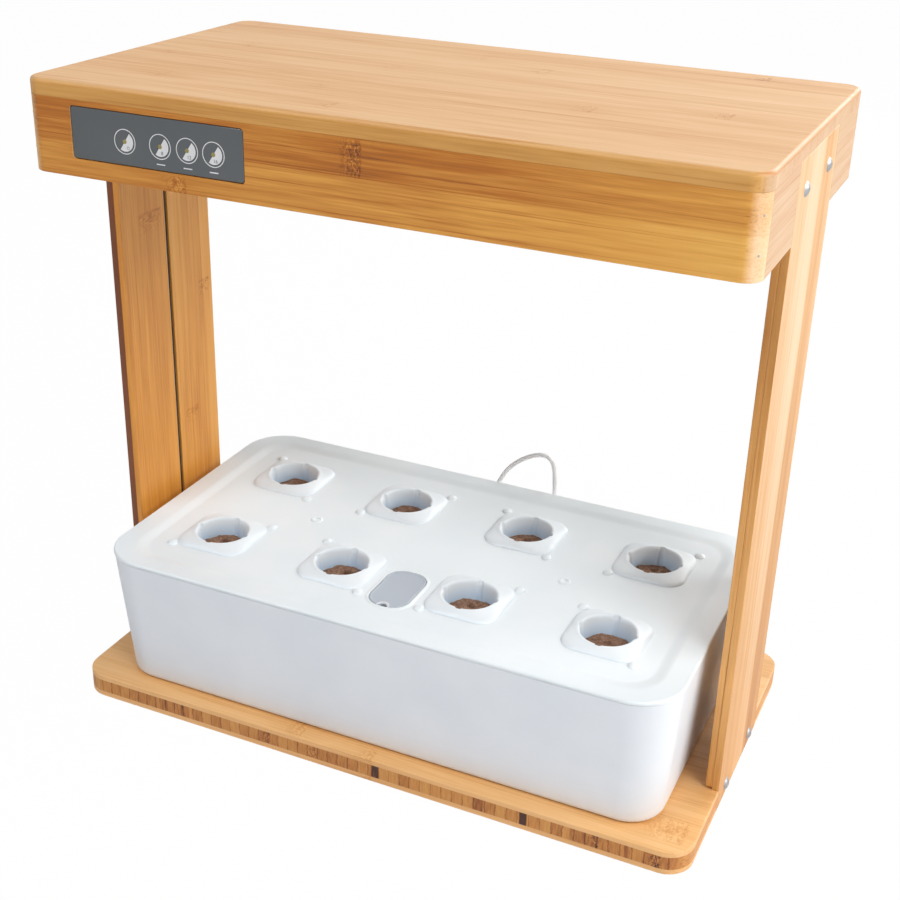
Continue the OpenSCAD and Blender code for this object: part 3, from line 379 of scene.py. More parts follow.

# pale and even, with long soft streaks and brown knuckles; its pale top and the peach of its ends are
# partly a painted warm sheen of the light from above and from the right, and the arrises at its ends get
# painted shade
topBamboo = bamboo(
    "lacqueredBambooTop", "xyz", paleBamboo, stripContrast=0.12, streakContrast=0.4, endRim=98, arrisShade=1,
    edges=(("y", plateEdgeBamboo, 0.4, 0.8), ("x", peachBamboo, 0.5, 0.85)),
    marks=((-184, 98, 5, 9, 0.16), (-150, 33, 5, 9, 0.2), (-178, -10, 5, 9, 0.16),
           (-144, -66, 5, 9, 0.14), (-56, -47, 5, 9, 0.12), (-30, -89, 5, 9, 0.18),
           (-45, 13, 5, 9, 0.12), (-15, 70, 5, 9, 0.16), (31, 50, 6, 9, 0.24), (85, -28, 6, 9, 0.22),
           (144.5, 95.6, 6, 6, 0.4), (150, -9, 6, 8, 0.36), (-194, 66, 5, 9, 0.16)))
# golden, with crisp dark streaks in two strips and pale cut ends round the corners, whose pale, less
# saturated tone is partly a painted sheen of the light from the right
frontBamboo = bamboo(
    "lacqueredBambooFront", "xzy", goldenBamboo, seed=0.436, stripWidth=19.5, stripContrast=0,
    streakContrast=0.45, edges=(("x", railEndBamboo, 0.2, 0.6),), bands=((362, 1.5, -0.13),),
    climb=(40, 190, 0.1), marks=((-4, 371, 6, 9.5, 0.44), (-107, 343, 7, 6, 0.3)))
# peach coloured and calm, with fine close streaks; this pale, less saturated peach is partly a painted
# sheen of the strong light from the right
sideBamboo = bamboo("lacqueredBambooSide", "yzx", peachBamboo, seed=0.2, stripWidth=22, stripContrast=0.1,
                    streakContrast=0.5)
# honey coloured upright strips; their front and rear edges are dark brown, partly a dark strip in the
# board and partly painted shade of the slot beside the inner boards
leftOuterBamboo = bamboo("lacqueredBambooLeftOuter", "zyx", leftBamboo, seed=0.15, stripWidth=19,
                         stripContrast=0.15, edges=(("y", darkEdgeBamboo, 0.5, 0.85),))
# the same honey colour, broken by three knuckles
leftPostBamboo = bamboo("lacqueredBambooLeftPost", "zyx", leftBamboo, seed=0.15, stripWidth=19,
                        stripContrast=0.15,
                        marks=((288, -17, 6, 12, 0.3), (229, 37, 6, 6, 0.3), (146, 16, 5, 8, 0.2)))
# amber, with one lighter and one darker strip, and painted paler towards the top: painted light that
# falls stronger on the post's upper part
rightPostBamboo = bamboo("lacqueredBambooRightPost", "zyx", amberBamboo, seed=0.45, stripWidth=21,
                         stripContrast=0.12, bands=((-16, 0.6, 0.08), (14, 0.6, -0.22)),
                         climb=(40, 340, 0.1), edges=(("y", postEdgeBamboo, 0.5, 0.85),))
# golden like the front, with two plain knuckles
rearBamboo = bamboo("lacqueredBambooRear", "xzy", goldenBamboo, seed=0.6, stripWidth=19.5,
                    stripContrast=0.15, marks=((120, 371, 6, 10, 0.5), (-40, 350, 6, 9, 0.4)))

# three plies: the core's strips stand crosswise, so their ends show as blocks with dark joints
ply = {"coreLow": 3.5, "coreHigh": 11.9, "soft": 0.2, "block": 6.8, "knuckleZ": 7.7,
       "plyColours": ((0, "945d2a"), (0.28, "d29451"), (0.5, "eab678"), (0.75, "f7cc96"), (1, "f8dcb4")),
       "coreColours": ((0, "3e1703"), (0.22, "98541c"), (0.45, "c4813a"), (0.7, "d7994e"), (1, "ecba70")),
       "topMarks": ((-47, -100, 6, 9, 0.3), (2, -109, 6, 9, 0.25), (180, -90, 13, 11, 0.25)),
       "coreMarks": ((181.7, 3.4, 0.7), (146, 3.2, 0.5), (-64, 3.2, 0.5), (-32.5, 3.2, 0.5)),
       "darkBlocks": ((11, 2.6, 0.4), (104.8, 2.3, 0.7), (-138, 3, 0.2), (-122, 3, 0.2), (77, 3, 0.25),
                      (166, 1.2, 0.2), (134, 1.2, 0.15))}


def plyBamboo():
    material, add, shader, inMm = newMaterial("threePlyBamboo", **lacquer)
    x, y, z = add("SeparateXYZ", (inMm,)).outputs
    figure = add("Group", {"Place": inMm, "Strip Contrast": 0.15}, node_tree=bambooFigure)
    tone = addMarks(add, inMm, figure.outputs["Tone"], ply["topMarks"])
    plyColour = add("ValToRGB", (tone,), ply["plyColours"])
    lanes = add("TexNoise", {"Vector": inMm, "Scale": 0.35, "Detail": 1})
    lanes = add("Math MULTIPLY_ADD", (lanes, 1.4, x))
    lanes = add("Math DIVIDE", (lanes, ply["block"]))
    lot = add("TexWhiteNoise", {"W": add("Math FLOOR", (lanes,))}, noise_dimensions="1D")
    core = add("Math MULTIPLY_ADD", (lot, 0.26, 0.38))
    joint = add("Math PINGPONG", (add("Math FRACT", (lanes,)), 0.5))
    core = addRise(add, core, joint, 0.02, 0.09, -0.22, 0)
    stripes = add("Math SUBTRACT", (stretched(add, inMm, (1.1, 40, 7), Detail=2), 0.5))
    core = add("Math MULTIPLY_ADD", (stripes, 0.5, core))
    core = addMarks(add, grainPlace(add, inMm, "xzy"), core,
                    [(x, ply["knuckleZ"], half, 5, strength) for x, half, strength in ply["coreMarks"]])
    for middle, half, depth in ply["darkBlocks"]:
        off = add("Math ABSOLUTE", (add("Math SUBTRACT", (x, middle)),))
        core = addRise(add, core, off, half - 0.4, half + 0.4, -depth, 0)
    lengthwise = add("MapRange", (facingAxes(add)[0], 0.55, 0.8))  # the board's two ends
    longStripes = stretched(add, inMm, (1.5, 50, 1.4), Detail=3)
    core = add("Mix FLOAT", {0: lengthwise, 2: core, 3: longStripes})
    low, high = ply["coreLow"], ply["coreHigh"]
    inCore = add("Math MULTIPLY", (
        add("MapRange", (z, low - ply["soft"], low + ply["soft"])),
        add("MapRange", (z, high - ply["soft"], high + ply["soft"], 1, 0))))
    coreColour = add("ValToRGB", (core,), ply["coreColours"])
    colour = add("Mix RGBA", {0: inCore, 6: plyColour, 7: coreColour}).outputs[2]
    lacquered(add, shader, colour, tone, figure.outputs["Fibre"])
    return material


baseBamboo = plyBamboo()


# moulded or coated: a hardly seen drift between two tones, and a grain that is drawn coarser than real
def moulded(name, code, other, rough, grit=0.35, deep=None, **sockets):
    material, add, shader, inMm = newMaterial(name, Roughness=rough, **sockets)
    wave = add("TexNoise", {"Vector": inMm, "Scale": 0.02, "Detail": 2})
    colour = add("ValToRGB", (wave,), ((0.35, code), (0.65, other)))
    if deep:  # another tone below a height, used as painted shade low inside a hollow
        height = add("SeparateXYZ", (inMm,)).outputs[2]
        share = add("MapRange SMOOTHSTEP", (height, deep[1], deep[2], 1, 0))
        colour = add("Mix RGBA", {0: share, 6: colour, 7: linear(deep[0])}).outputs[2]
    fine = add("TexNoise", {"Vector": inMm, "Scale": 1 / grit, "Detail": 2})
    bump = add("Bump", {"Strength": 0.12, "Distance": 0.05 * mm, "Height": fine})
    feed(shader, {"Base Color": colour, "Normal": bump})
    return material


# a fine matt grain gives soft, wide highlights on a slightly cool white
whiteAbs = moulded("mouldedWhiteAbs", "e4eaf1", "e9eef4", 0.4, 0.8, IOR=1.53)
# the same plastic, a little brighter and flatter in its shine
lidAbs = moulded("mouldedWhiteAbsLid", "e8f0f4", "edf3f6", 0.42, 0.8, IOR=1.53)
# polypropylene in a slightly cool white; lower down its walls turn a cooler blue-grey, painted shade
# inside the cup
podWhite = moulded("mouldedWhitePp", "e9f1f6", "eef4f8", 0.42, 0.8, IOR=1.49, deep=("d3e6f8", 95, 105))
# cool mid grey with a satin shine, and the paler grey of the moulding beside it
greyAbs = moulded("mouldedGreyAbs", "b1b9c4", "b7bfc9", 0.4, 0.6, IOR=1.53)
paleGreyAbs = moulded("mouldedPaleGreyAbs", "d3d7dd", "dadde2", 0.4, 0.6, IOR=1.53)
# soft vinyl glows a little from within, so a thin lead shows no hard shade
whiteLead = moulded("whitePvcLead", "fafbfd", "fdfdfe", 0.42, 1.2, IOR=1.53, Subsurface_Weight=0.8,
                    Subsurface_Scale=0.004, Subsurface_Radius=(1, 1, 1))
# near black, with a broad grey highlight
blackAbs = moulded("mouldedBlackAbs", "1a1b1d", "222326", 0.42, 0.6, IOR=1.53)
# duller black of a cable's sleeve
blackPvc = moulded("blackPvcCable", "17181a", "1f2022", 0.5, 1.2, IOR=1.53)
# silicone is matt and milky, nitrile is dead black
whiteRubber = moulded("whiteSiliconeRubber", "e6e7e6", "eceded", 0.55, 0.8, IOR=1.42)
blackRubber = moulded("blackNitrileRubber", "191919", "242322", 0.65, 0.8, IOR=1.52)
# baked enamel: clean white under a clear gloss
whiteEnamel = moulded("enamelledSteelSheet", "eff0ee", "f4f4f2", 0.25, 1.5, IOR=1.5, Coat_Weight=0.3)
# solder mask has an even, slightly waxy shine, white by the lamps and green elsewhere
boardWhite = moulded("whiteSolderMask", "eceeea", "f2f3f0", 0.4, 0.6, IOR=1.5)
boardGreen = moulded("greenSolderMask", "1d5a35", "246640", 0.32, 0.6, IOR=1.5)
# satin plating: a warm grey metal whose reflections are blurred
nickelSteel = moulded("nickelPlatedSteel", "a2a3a5", "acadae", 0.42, 0.5, Metallic=1.0)
# ground steel: brighter, with sharper reflections
shaftSteel = moulded("groundStainlessSteel", "bdbdbd", "c8c8c7", 0.18, 0.4, Metallic=1.0)
# clear sheet that lets the lamps through, with a gloss on its face
clearSheet = moulded("clearPolycarbonateSheet", "f4f7f8", "f8fafa", 0.08, 2, IOR=1.58,
                     Transmission_Weight=0.85)
# smoky grey and very smooth, so it mirrors the pale room
smokedWindow = moulded("smokedAcrylicWindow", "54595b", "595d5f", 0.09, 3, IOR=1.49, Coat_Weight=0.5,
                       Coat_Roughness=0.04)
# printed ink: flat light grey rings and bars, and dim grey numbers
printWhite = moulded("screenPrintedWhite", "d9dadc", "e2e2e3", 0.3, 0.6, IOR=1.5)
printGrey = moulded("screenPrintedGrey", "63686c", "6c7073", 0.3, 0.6, IOR=1.5)
# dull olive brass behind the window
keyBrass = moulded("brassKeySensor", "8b8350", "a3985c", 0.35, 0.5, Metallic=0.6)
# an unlit lamp chip is a powdery yellow
phosphor = moulded("yellowPhosphor", "e8cf57", "eed866", 0.45, 0.4, IOR=1.45)


def foam(name, dark, middle, light, pore):
    material, add, shader, inMm = newMaterial(name, Roughness=0.92, IOR=1.4)
    cells = add("TexVoronoi", {"Vector": inMm, "Scale": 1 / pore})
    patch = add("TexNoise", {"Vector": inMm, "Scale": 0.45, "Detail": 3})
    mixed = add("Math MULTIPLY_ADD", (cells, 0.55, patch))
    colour = add("ValToRGB", (mixed,), ((0.35, dark), (0.65, middle), (1, light)))
    bump = add("Bump", {"Strength": 0.7, "Distance": 0.4 * mm, "Height": mixed})
    feed(shader, {"Base Color": colour, "Normal": bump})
    return material


# crumbly and open: dark pores between dry brown walls, with no shine
growFoam = foam("peatFoam", "4f3628", "7a5744", "9c7c66", 0.55)
# the same open cells in the pump's coarser blue foam
filterFoam = foam("blueFilterFoam", "1d3c5c", "33648f", "5a8ab2", 1.1)
print("materials made")


# shapes are worked out in millimetres, and a mesh holds them in metres
def pointMesh(name, points, faces=()):
    mesh = bpy.data.meshes.new(name)
    mesh.from_pydata([Vector(p) * mm for p in points], [], faces)
    return mesh


def meshPiece(name, points, faces, material, smoothAngle=32):
    return dress(addObject(name, pointMesh(name, points, faces)), material, smoothAngle)


def dress(piece, material, smoothAngle=32):
    work = bmesh.new()
    work.from_mesh(piece.data)
    bmesh.ops.remove_doubles(work, verts=work.verts, dist=1e-6)
    bmesh.ops.recalc_face_normals(work, faces=work.faces)
    work.to_mesh(piece.data)
    work.free()
    piece.data.materials.clear()
    piece.data.materials.append(material)
    smooth(piece.data, smoothAngle)
    return piece


def roundedPlan(width, depth, radius, steps=12, centre=(0, 0)):
    points = []
    for sx, sy, start in ((1, 1, 0), (-1, 1, 90), (-1, -1, 180), (1, -1, 270)):
        for k in range(steps + 1):
            a = math.radians(start + 90 * k / steps)
            points.append((centre[0] + sx * (width / 2 - radius) + radius * math.cos(a),
                           centre[1] + sy * (depth / 2 - radius) + radius * math.sin(a)))
    return points


def planRings(layers, centre=(0, 0), steps=12):
    return [[(x, y, z) for x, y in roundedPlan(w, d, r, steps, centre)] for w, d, r, z in layers]


def revolve(profile, origin, axis="z", steps=48, closed=False):
    rings = []
    for r, h in profile:
        ring = []
        for k in range(steps):
            a = 2 * math.pi * k / steps
            u, v = r * math.cos(a), r * math.sin(a)
            p = {"z": (u, v, h), "y": (u, h, v), "x": (h, u, v)}[axis]
            ring.append(tuple(o + c for o, c in zip(origin, p)))
        rings.append(ring)
    return loft(rings, closed)


def joinShapes(*shapes):
    points, faces = [], []
    for p, f in shapes:
        faces += [tuple(i + len(points) for i in face) for face in f]
        points += p
    return points, faces


def applyModifiers(piece):
    bpy.context.view_layer.update()
    graph = bpy.context.evaluated_depsgraph_get()
    mesh = bpy.data.meshes.new_from_object(piece.evaluated_get(graph), depsgraph=graph)
    piece.modifiers.clear()
    old = piece.data
    piece.data = mesh
    mesh.name = piece.name
    if old.users == 0:
        bpy.data.meshes.remove(old)
    return piece


def cut(piece, shape, operation="DIFFERENCE"):
    tool = meshPiece("cutter", *shape, piece.data.materials[0])
    modifier = piece.modifiers.new("cut", "BOOLEAN")
    modifier.object, modifier.operation, modifier.solver = tool, operation, "EXACT"
    applyModifiers(piece)
    bpy.data.objects.remove(tool)


def weighted(piece, smoothAngle):
    smooth(piece.data, smoothAngle)
    modifier = piece.modifiers.new("weighted", "WEIGHTED_NORMAL")
    modifier.keep_sharp = True
    return applyModifiers(piece)


def finishPiece(piece, body, slotName, *replaced):
    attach(piece, body)
    if replaced:
        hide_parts(*replaced)


# a board with rounded edges: those that strong() picks get the whole width, the others less
def softCopy(name, node, material, width, strong=None, others=1):
    piece = addObject(name, nodes[node].data.copy())
    work = bmesh.new()
    work.from_mesh(piece.data)
    bmesh.ops.remove_doubles(work, verts=work.verts, dist=2e-6)
    bmesh.ops.dissolve_limit(work, angle_limit=math.radians(0.6), verts=work.verts, edges=work.edges)
    layer = work.edges.layers.float.new("bevel_weight_edge")
    for edge in work.edges:
        if len(edge.link_faces) == 2 and edge.calc_face_angle(0) > math.radians(25):
            middle = (edge.verts[0].co + edge.verts[1].co) / 2 / mm
            edge[layer] = 1 if strong and strong(middle) else 1 / others
    work.to_mesh(piece.data)
    work.free()
    piece.data.materials.clear()
    piece.data.materials.append(material)
    bevel = piece.modifiers.new("bevel", "BEVEL")
    bevel.limit_method, bevel.width, bevel.segments = "WEIGHT", width * mm, 3
    bevel.use_clamp_overlap, bevel.miter_outer = True, "MITER_SHARP"
    applyModifiers(piece)
    weighted(piece, 35)
    finishPiece(piece, "stand", "bamboo", node)


# canopy is the height of its underside, corner is how far its round corners reach along x, and the edges
# where boards meet have jointRound
stand = {"width": 400, "depth": 220, "canopy": 340, "corner": 11, "edgeRound": 1.2, "jointRound": 0.12,
         "plateRound": 0.25, "baseThick": 15, "baseRound": 1.6, "postRound": 0.35, "notchX": 194,
         "notchY": 47}


def outerEdge(p):
    low = abs(p.z - stand["canopy"]) < 0.5
    atSide = abs(abs(p.x) - stand["width"] / 2) < stand["corner"]
    return low and (atSide or abs(abs(p.y) - stand["depth"] / 2) < 0.5)


def baseEdge(p):
    rim = p.z < 0.2 or p.z > stand["baseThick"] - 0.2
    return rim and not (abs(p.x) > stand["notchX"] and abs(p.y) < stand["notchY"])


softCopy("topPlate", "canopy_top_plate", topBamboo, stand["plateRound"])
for side, material in (("front", frontBamboo), ("rear", rearBamboo), ("left", sideBamboo),
                       ("right", sideBamboo)):
    softCopy(side + "Rail", "canopy_" + side + "_rail", material, stand["edgeRound"], outerEdge,
             stand["edgeRound"] / stand["jointRound"])
softCopy("baseBoard", "base_board", baseBamboo, stand["baseRound"], baseEdge, 10)
for side, outer, inner in (("left", leftOuterBamboo, leftPostBamboo),
                           ("right", rightPostBamboo, rightPostBamboo)):
    for label, board, material in (("Outer", "outer", outer), ("Front", "inner_front", inner),
                                   ("Rear", "inner_rear", inner)):
        softCopy(side + "Post" + label, side + "_post_" + board + "_board", material, stand["postRound"])
print("stand built")


# domed screws with a cross slot, turned by chance
screw = {"headWidth": 8, "headHeight": 2, "shank": 3.4, "slot": 3.4, "slotWidth": 0.55, "slotDepth": 0.8,
         "pitch": 54, "upper": 364, "lower": 7.5, "upperLength": 8.5, "lowerLength": 26.2}


def screwMaster(length):
    half, high = screw["headWidth"] / 2, screw["headHeight"]
    ball = (half * half + high * high) / (2 * high)
    profile = [(0.001, high)]
    for k in range(1, 9):
        a = k / 8 * math.asin(half / ball)
        profile.append((ball * math.sin(a), high - ball + ball * math.cos(a)))
    profile += [(half, -0.02), (screw["shank"] / 2, -0.02), (screw["shank"] / 2, -length + 1),
                (0.001, -length)]
    master = meshPiece("screwMaster", *revolve(profile, (0, 0, 0), steps=40), nickelSteel, 40)
    w, l, d = screw["slotWidth"] / 2, screw["slot"] / 2, screw["slotDepth"]
    for a, b in ((w, l), (l, w)):
        corners = [(x, y, z) for z in (high - d, high + 1)
                   for x, y in ((-a, -b), (a, -b), (a, b), (-a, b))]
        cut(master, (corners, [(3, 2, 1, 0), (4, 5, 6, 7), (0, 1, 5, 4), (1, 2, 6, 5), (2, 3, 7, 6),
                               (3, 0, 4, 7)]))
    return weighted(master, 40)


def runTree(name, source, tree, values, material, smoothAngle=35):
    piece = addObject(name, source)
    modifier = piece.modifiers.new("build", "NODES")
    modifier.node_group = tree
    for item in tree.interface.items_tree:
        if item.in_out == "INPUT" and item.name in values:
            modifier[item.identifier] = values[item.name]
    applyModifiers(piece)
    return dress(piece, material, smoothAngle)


def closeTree(add, shape, material):
    real = add("GeometryNodeRealizeInstances", (shape,))
    add("NodeGroupOutput", (add("GeometryNodeSetMaterial", {"Geometry": real, "Material": material}),))


def screwTree(material):
    tree, add, given = newGroup(
        "screwSet", "GeometryNodeTree",
        (("Places", "Geometry", None), ("Screw", "Object", None), ("Turn Seed", "Int", 3)),
        (("Geometry", "Geometry"),))
    master = add("GeometryNodeObjectInfo", {"Object": given["Screw"]}).outputs["Geometry"]
    place = add("SeparateXYZ", (add("GeometryNodeInputPosition"),))
    outward = add("CombineXYZ", (add("Math SIGN", (place,)),))
    turned = add("FunctionNodeAlignRotationToVector", {"Vector": outward}, axis="Z")
    chance = add("FunctionNodeRandomValue", {"Seed": given["Turn Seed"], 2: 0.0, 3: 1.57},
                 data_type="FLOAT").outputs[1]
    spin = add("CombineXYZ", {2: chance})
    turned = add("FunctionNodeRotateRotation", (turned, spin), rotation_space="LOCAL")
    placed = add("GeometryNodeInstanceOnPoints",
                 {"Points": given["Places"], "Instance": master, "Rotation": turned})
    closeTree(add, placed, material)
    return tree


screwSet = screwTree(nickelSteel)
for level, seed in (("upper", 3), ("lower", 8)):
    master = screwMaster(screw[level + "Length"])
    places = pointMesh(level + "PostScrews",
                       [(s * stand["width"] / 2, y * screw["pitch"] / 2, screw[level])
                        for s in (-1, 1) for y in (-1, 1)])
    finishPiece(runTree(level + "PostScrews", places, screwSet, {"Screw": master, "Turn Seed": seed},
                        nickelSteel, 40),
                "stand", "screw_steel", level + "_post_screws")
    bpy.data.objects.remove(master)

# two brads in each round corner: angle is from the depth towards the side, and turn less for the lower
brad = {"heights": (370.8, 352.5), "corner": 10.5, "angle": 51, "turn": 2, "width": 1.2, "proud": 0.08,
        "deep": 1.2}
half, tip = brad["width"] / 2, brad["deep"] + brad["proud"]
rodPoints, rodFaces = revolve([(0.001, 0), (half, 0), (half, brad["deep"] + brad["proud"] * 0.5),
                               (half - 0.15, tip), (0.001, tip)], (0, 0, 0), steps=20)
rods = []
for sx in (-1, 1):
    for sy in (-1, 1):
        for z, lower in zip(brad["heights"], (0, 1)):
            a = math.radians(brad["angle"] - brad["turn"] * lower)
            direction = Vector((sx * math.sin(a), sy * math.cos(a), 0))
            turn = Vector((0, 0, 1)).rotation_difference(direction).to_matrix()
            corner = (sx * (stand["width"] / 2 - brad["corner"]),
                      sy * (stand["depth"] / 2 - brad["corner"]), z)
            origin = Vector(corner) + direction * (brad["corner"] - brad["deep"])
            rods.append(([tuple(turn @ Vector(p) + origin) for p in rodPoints], rodFaces))
bradPoints, bradFaces = joinShapes(*rods)
finishPiece(meshPiece("canopyBrads", bradPoints, bradFaces, nickelSteel), "stand", "screw_steel")
print("screws set")


# a glossy window with four touch keys: a power key, then three with plain numbers and a short bar below
panel = {"x": -117, "z": 364, "width": 106, "height": 28, "thick": 2, "corner": 2, "sunk": 0.12,
         "keys": (-19.2, 2.65, 19.15, 35), "labels": ("", "8", "12", "16"), "keyDrop": 1.2, "ring": 13.3,
         "ringLine": 0.45, "disc": 10.4, "dot": 2.4, "bar": (2.6, 9.6, 9.0), "ink": 0.06, "digit": 2.6,
         "digitPlace": (1.2, -3.4), "mark": (2, -3.1), "markRadii": (0.85, 0.65), "stroke": (0.1, 0.9)}


def upright(points, y):
    return [(panel["x"] + u, y, panel["z"] + v) for u, v in points]


def plaque(outline, thick, face):
    count = len(outline)
    points = upright(outline, face) + upright(outline, face + thick)
    faces = [tuple(range(count)), tuple(range(2 * count - 1, count - 1, -1))]
    faces += [(k, (k + 1) % count, count + (k + 1) % count, count + k) for k in range(count)]
    return points, faces


faceY = panel["sunk"] - stand["depth"] / 2
outline, rimLine = [
    roundedPlan(panel["width"] - 2 * by, panel["height"] - 2 * by, panel["corner"] - by, 8)
    for by in (0.55, 0.3)]
window = meshPiece("panelWindow", *loft([upright(outline, faceY), upright(rimLine, faceY + 0.25),
                                         upright(rimLine, faceY + panel["thick"])]), smokedWindow, 20)
finishPiece(window, "stand", "panel_window", "control_panel")


def circle(u, v, radius, steps=48, start=0, sweep=360):
    full = sweep == 360
    return [(u + radius * math.cos(math.radians(start + sweep * k / steps)),
             v + radius * math.sin(math.radians(start + sweep * k / steps)))
            for k in range(steps if full else steps + 1)]


def bar(left, right, low, high):
    return [(left, low), (right, low), (right, high), (left, high)]


whiteShapes, greyShapes, brassShapes, digits = [], [], [], []
ink, barHalf, barLow, barHigh = panel["ink"], *panel["bar"]
printFace = faceY - ink
v = -panel["keyDrop"]
for u, label in zip(panel["keys"], panel["labels"]):
    outer, inner = circle(u, v, panel["ring"] / 2), circle(u, v, panel["ring"] / 2 - panel["ringLine"])
    ring = [upright(outer, printFace), upright(inner, printFace), upright(inner, faceY),
            upright(outer, faceY)]
    whiteShapes.append(loft(ring, closed=True))
    whiteShapes.append(plaque(circle(u, v, panel["disc"] / 2, 30, 236, 180), ink, printFace))
    brassShapes.append(plaque(circle(u, v, panel["dot"] / 2, 24), 0.1, printFace - 0.03))
    if label:
        whiteShapes.append(plaque(bar(u - barHalf, u + barHalf, v - barLow, v - barHigh), ink, printFace))
        text = bpy.data.curves.new("digit", "FONT")
        text.body, text.size, text.extrude = label, panel["digit"] * mm, ink / 2 * mm
        text.align_x, text.align_y = "CENTER", "CENTER"
        letter = addObject("digit", text)
        bpy.context.view_layer.update()
        mesh = bpy.data.meshes.new_from_object(letter)
        aside, drop = panel["digitPlace"]
        place = Vector((panel["x"] + u + aside, printFace - 0.03, panel["z"] + v + drop)) * mm
        mesh.transform(Matrix.Translation(place) @ Matrix.Rotation(math.pi / 2, 4, "X"))
        digits.append(mesh)
        bpy.data.objects.remove(letter)
    else:
        markU, markV = u + panel["mark"][0], v + panel["mark"][1]
        outer, inner = [circle(markU, markV, radius, 20, 120, 300) for radius in panel["markRadii"]]
        greyShapes.append(plaque(outer + inner[::-1], ink, printFace - 0.03))
        half, high = panel["stroke"]
        greyShapes.append(plaque(bar(markU - half, markU + half, markV, markV + high), ink,
                                 printFace - 0.03))
for name, material, shapes in (("panelPrint", printWhite, whiteShapes),
                               ("panelPowerMark", printGrey, greyShapes),
                               ("panelKeyDots", keyBrass, brassShapes)):
    finishPiece(meshPiece(name, *joinShapes(*shapes), material), "stand", "panel_window")
work = bmesh.new()
for mesh in digits:
    work.from_mesh(mesh)
numbers = bpy.data.meshes.new("panelNumbers")
work.to_mesh(numbers)
work.free()
finishPiece(dress(addObject("panelNumbers", numbers), printGrey), "stand", "panel_window")
print("panel built")


# plans are width, depth and corner radius; the lid's field lies below its rim, which slopes in
tank = {"y": -6, "base": 15, "tubTop": 101.5, "top": (364, 203, 27.5), "foot": (354, 185, 22.5),
        "footZ": 19.5, "footRound": 4.5, "wall": 2.5, "innerFoot": 22, "rimRound": 1.3,
        "lid": (365, 204, 28), "lidUnder": 101.8, "rim": 104, "field": 102.5, "thick": 2, "rimSide": 12,
        "rimFront": 10, "rimCorner": 20, "lidCut": (99, 104), "slope": 8.5, "lip": 97.5,
        "lipPlan": (356.91, 195.52, 25), "lipWall": 2}


def shrink(plan, by, z):
    w, d, r = plan
    return (w - 2 * by, d - 2 * by, max(r - by, 0.5), z)


def between(a, b, t):
    return tuple(p + (q - p) * t for p, q in zip(a, b))


def quarterTurn(steps):
    return [math.radians(90 * k / steps) for k in range(steps + 1)]


top, foot, wall, tubTop = tank["top"], tank["foot"], tank["wall"], tank["tubTop"]
layers = [shrink(foot, tank["footRound"] * (1 - math.sin(a)),
                 tank["base"] + tank["footRound"] * (1 - math.cos(a)))
          for a in quarterTurn(8)]
for k in range(1, 7):
    layers.append((*between(foot, top, k / 6), tank["footZ"] + (tubTop - 0.4 - tank["footZ"]) * (k / 6)))
layers += [shrink(top, 0.12, tubTop - 0.12), shrink(top, 0.4, tubTop), shrink(top, wall - 0.4, tubTop),
           shrink(top, wall - 0.12, tubTop - 0.12)]
for k in range(1, 5):
    layers.append(shrink(between(top, foot, k / 4), wall,
                         tubTop - 0.5 + (tank["innerFoot"] - tubTop + 0.5) * k / 4))
layers += [shrink(foot, wall + tank["footRound"] * (1 - math.cos(a)),
                  tank["innerFoot"] - tank["footRound"] * math.sin(a))
           for a in quarterTurn(6)[1:]]
tub = meshPiece("tankTub", *loft(planRings(layers, (0, tank["y"]), 16)), whiteAbs, 25)

# the lead's way out: a flat pad on the sloping wall, with a rubber grommet in its hole
port = {"x": 36, "z": 85, "padOut": 94.69, "padIn": 90.19, "pad": 14, "hole": 7.2, "noseEnd": 98,
        "flange": 11, "neck": 7, "nose": 6, "flangeThick": 1.6, "bore": 3.1}
portPlace, padIn, padOut = (port["x"], 0, port["z"]), port["padIn"], port["padOut"]
r = port["pad"] / 2
cut(tub, revolve([(r - 0.3, padIn), (r, padIn + 0.3), (r, padOut - 0.3), (r - 0.3, padOut)],
                 portPlace, "y"), "UNION")
cut(tub, revolve([(port["hole"] / 2, padIn - 5), (port["hole"] / 2, padOut + 5)], portPlace, "y"))
finishPiece(weighted(tub, 28), "stand", "white_abs", "tank_tub")

bore, flange, nose, neck = [port[name] / 2 for name in ("bore", "flange", "nose", "neck")]
inner, outer, end = padIn - port["flangeThick"], padOut + port["flangeThick"], port["noseEnd"]
profile = [(bore, inner), (flange - 0.4, inner), (flange, inner + 0.4), (flange, padIn), (neck, padIn),
           (neck, padOut), (flange, padOut), (flange, outer - 0.5), (flange - 0.5, outer),
           (nose, outer + 0.1), (nose - 0.3, end - 0.9), (nose - 0.6, end), (bore, end)]
grommet = meshPiece("leadGrommet", *revolve(profile, portPlace, "y", closed=True), whiteRubber, 30)
finishPiece(weighted(grommet, 30), "stand", "white_rubber", "lead_grommet")
print("tub built")

lidPlan, lipPlan, under, rim, field = [
    tank[name] for name in ("lid", "lipPlan", "lidUnder", "rim", "field")]
rimPlan = (lidPlan[0] - 2 * tank["rimSide"], lidPlan[1] - 2 * tank["rimFront"], tank["rimCorner"])
layers = [shrink(lipPlan, tank["lipWall"], field - tank["thick"]),
          shrink(lipPlan, tank["lipWall"], tank["lip"]), (*lipPlan, tank["lip"]), (*lipPlan, under),
          shrink(lidPlan, 0.35, under), shrink(lidPlan, 0.1, under + 0.1),
          shrink(lidPlan, 0, under + 0.35)]
layers += [shrink(lidPlan, tank["rimRound"] * (1 - math.cos(a)),
                  rim - tank["rimRound"] + tank["rimRound"] * math.sin(a))
           for a in quarterTurn(5)]
for k in range(9):  # a soft fall from the rim to the field
    s = k / 8
    w, d, r = rimPlan
    layers.append((w - 2 * tank["slope"] * s, d - 2 * tank["slope"] * s, r - 3.5 * s,
                   rim - (rim - field) * (s * s * (3 - 2 * s))))
lid = meshPiece("tankLid", *loft(planRings(layers, (0, tank["y"]), 16)), lidAbs, 25)

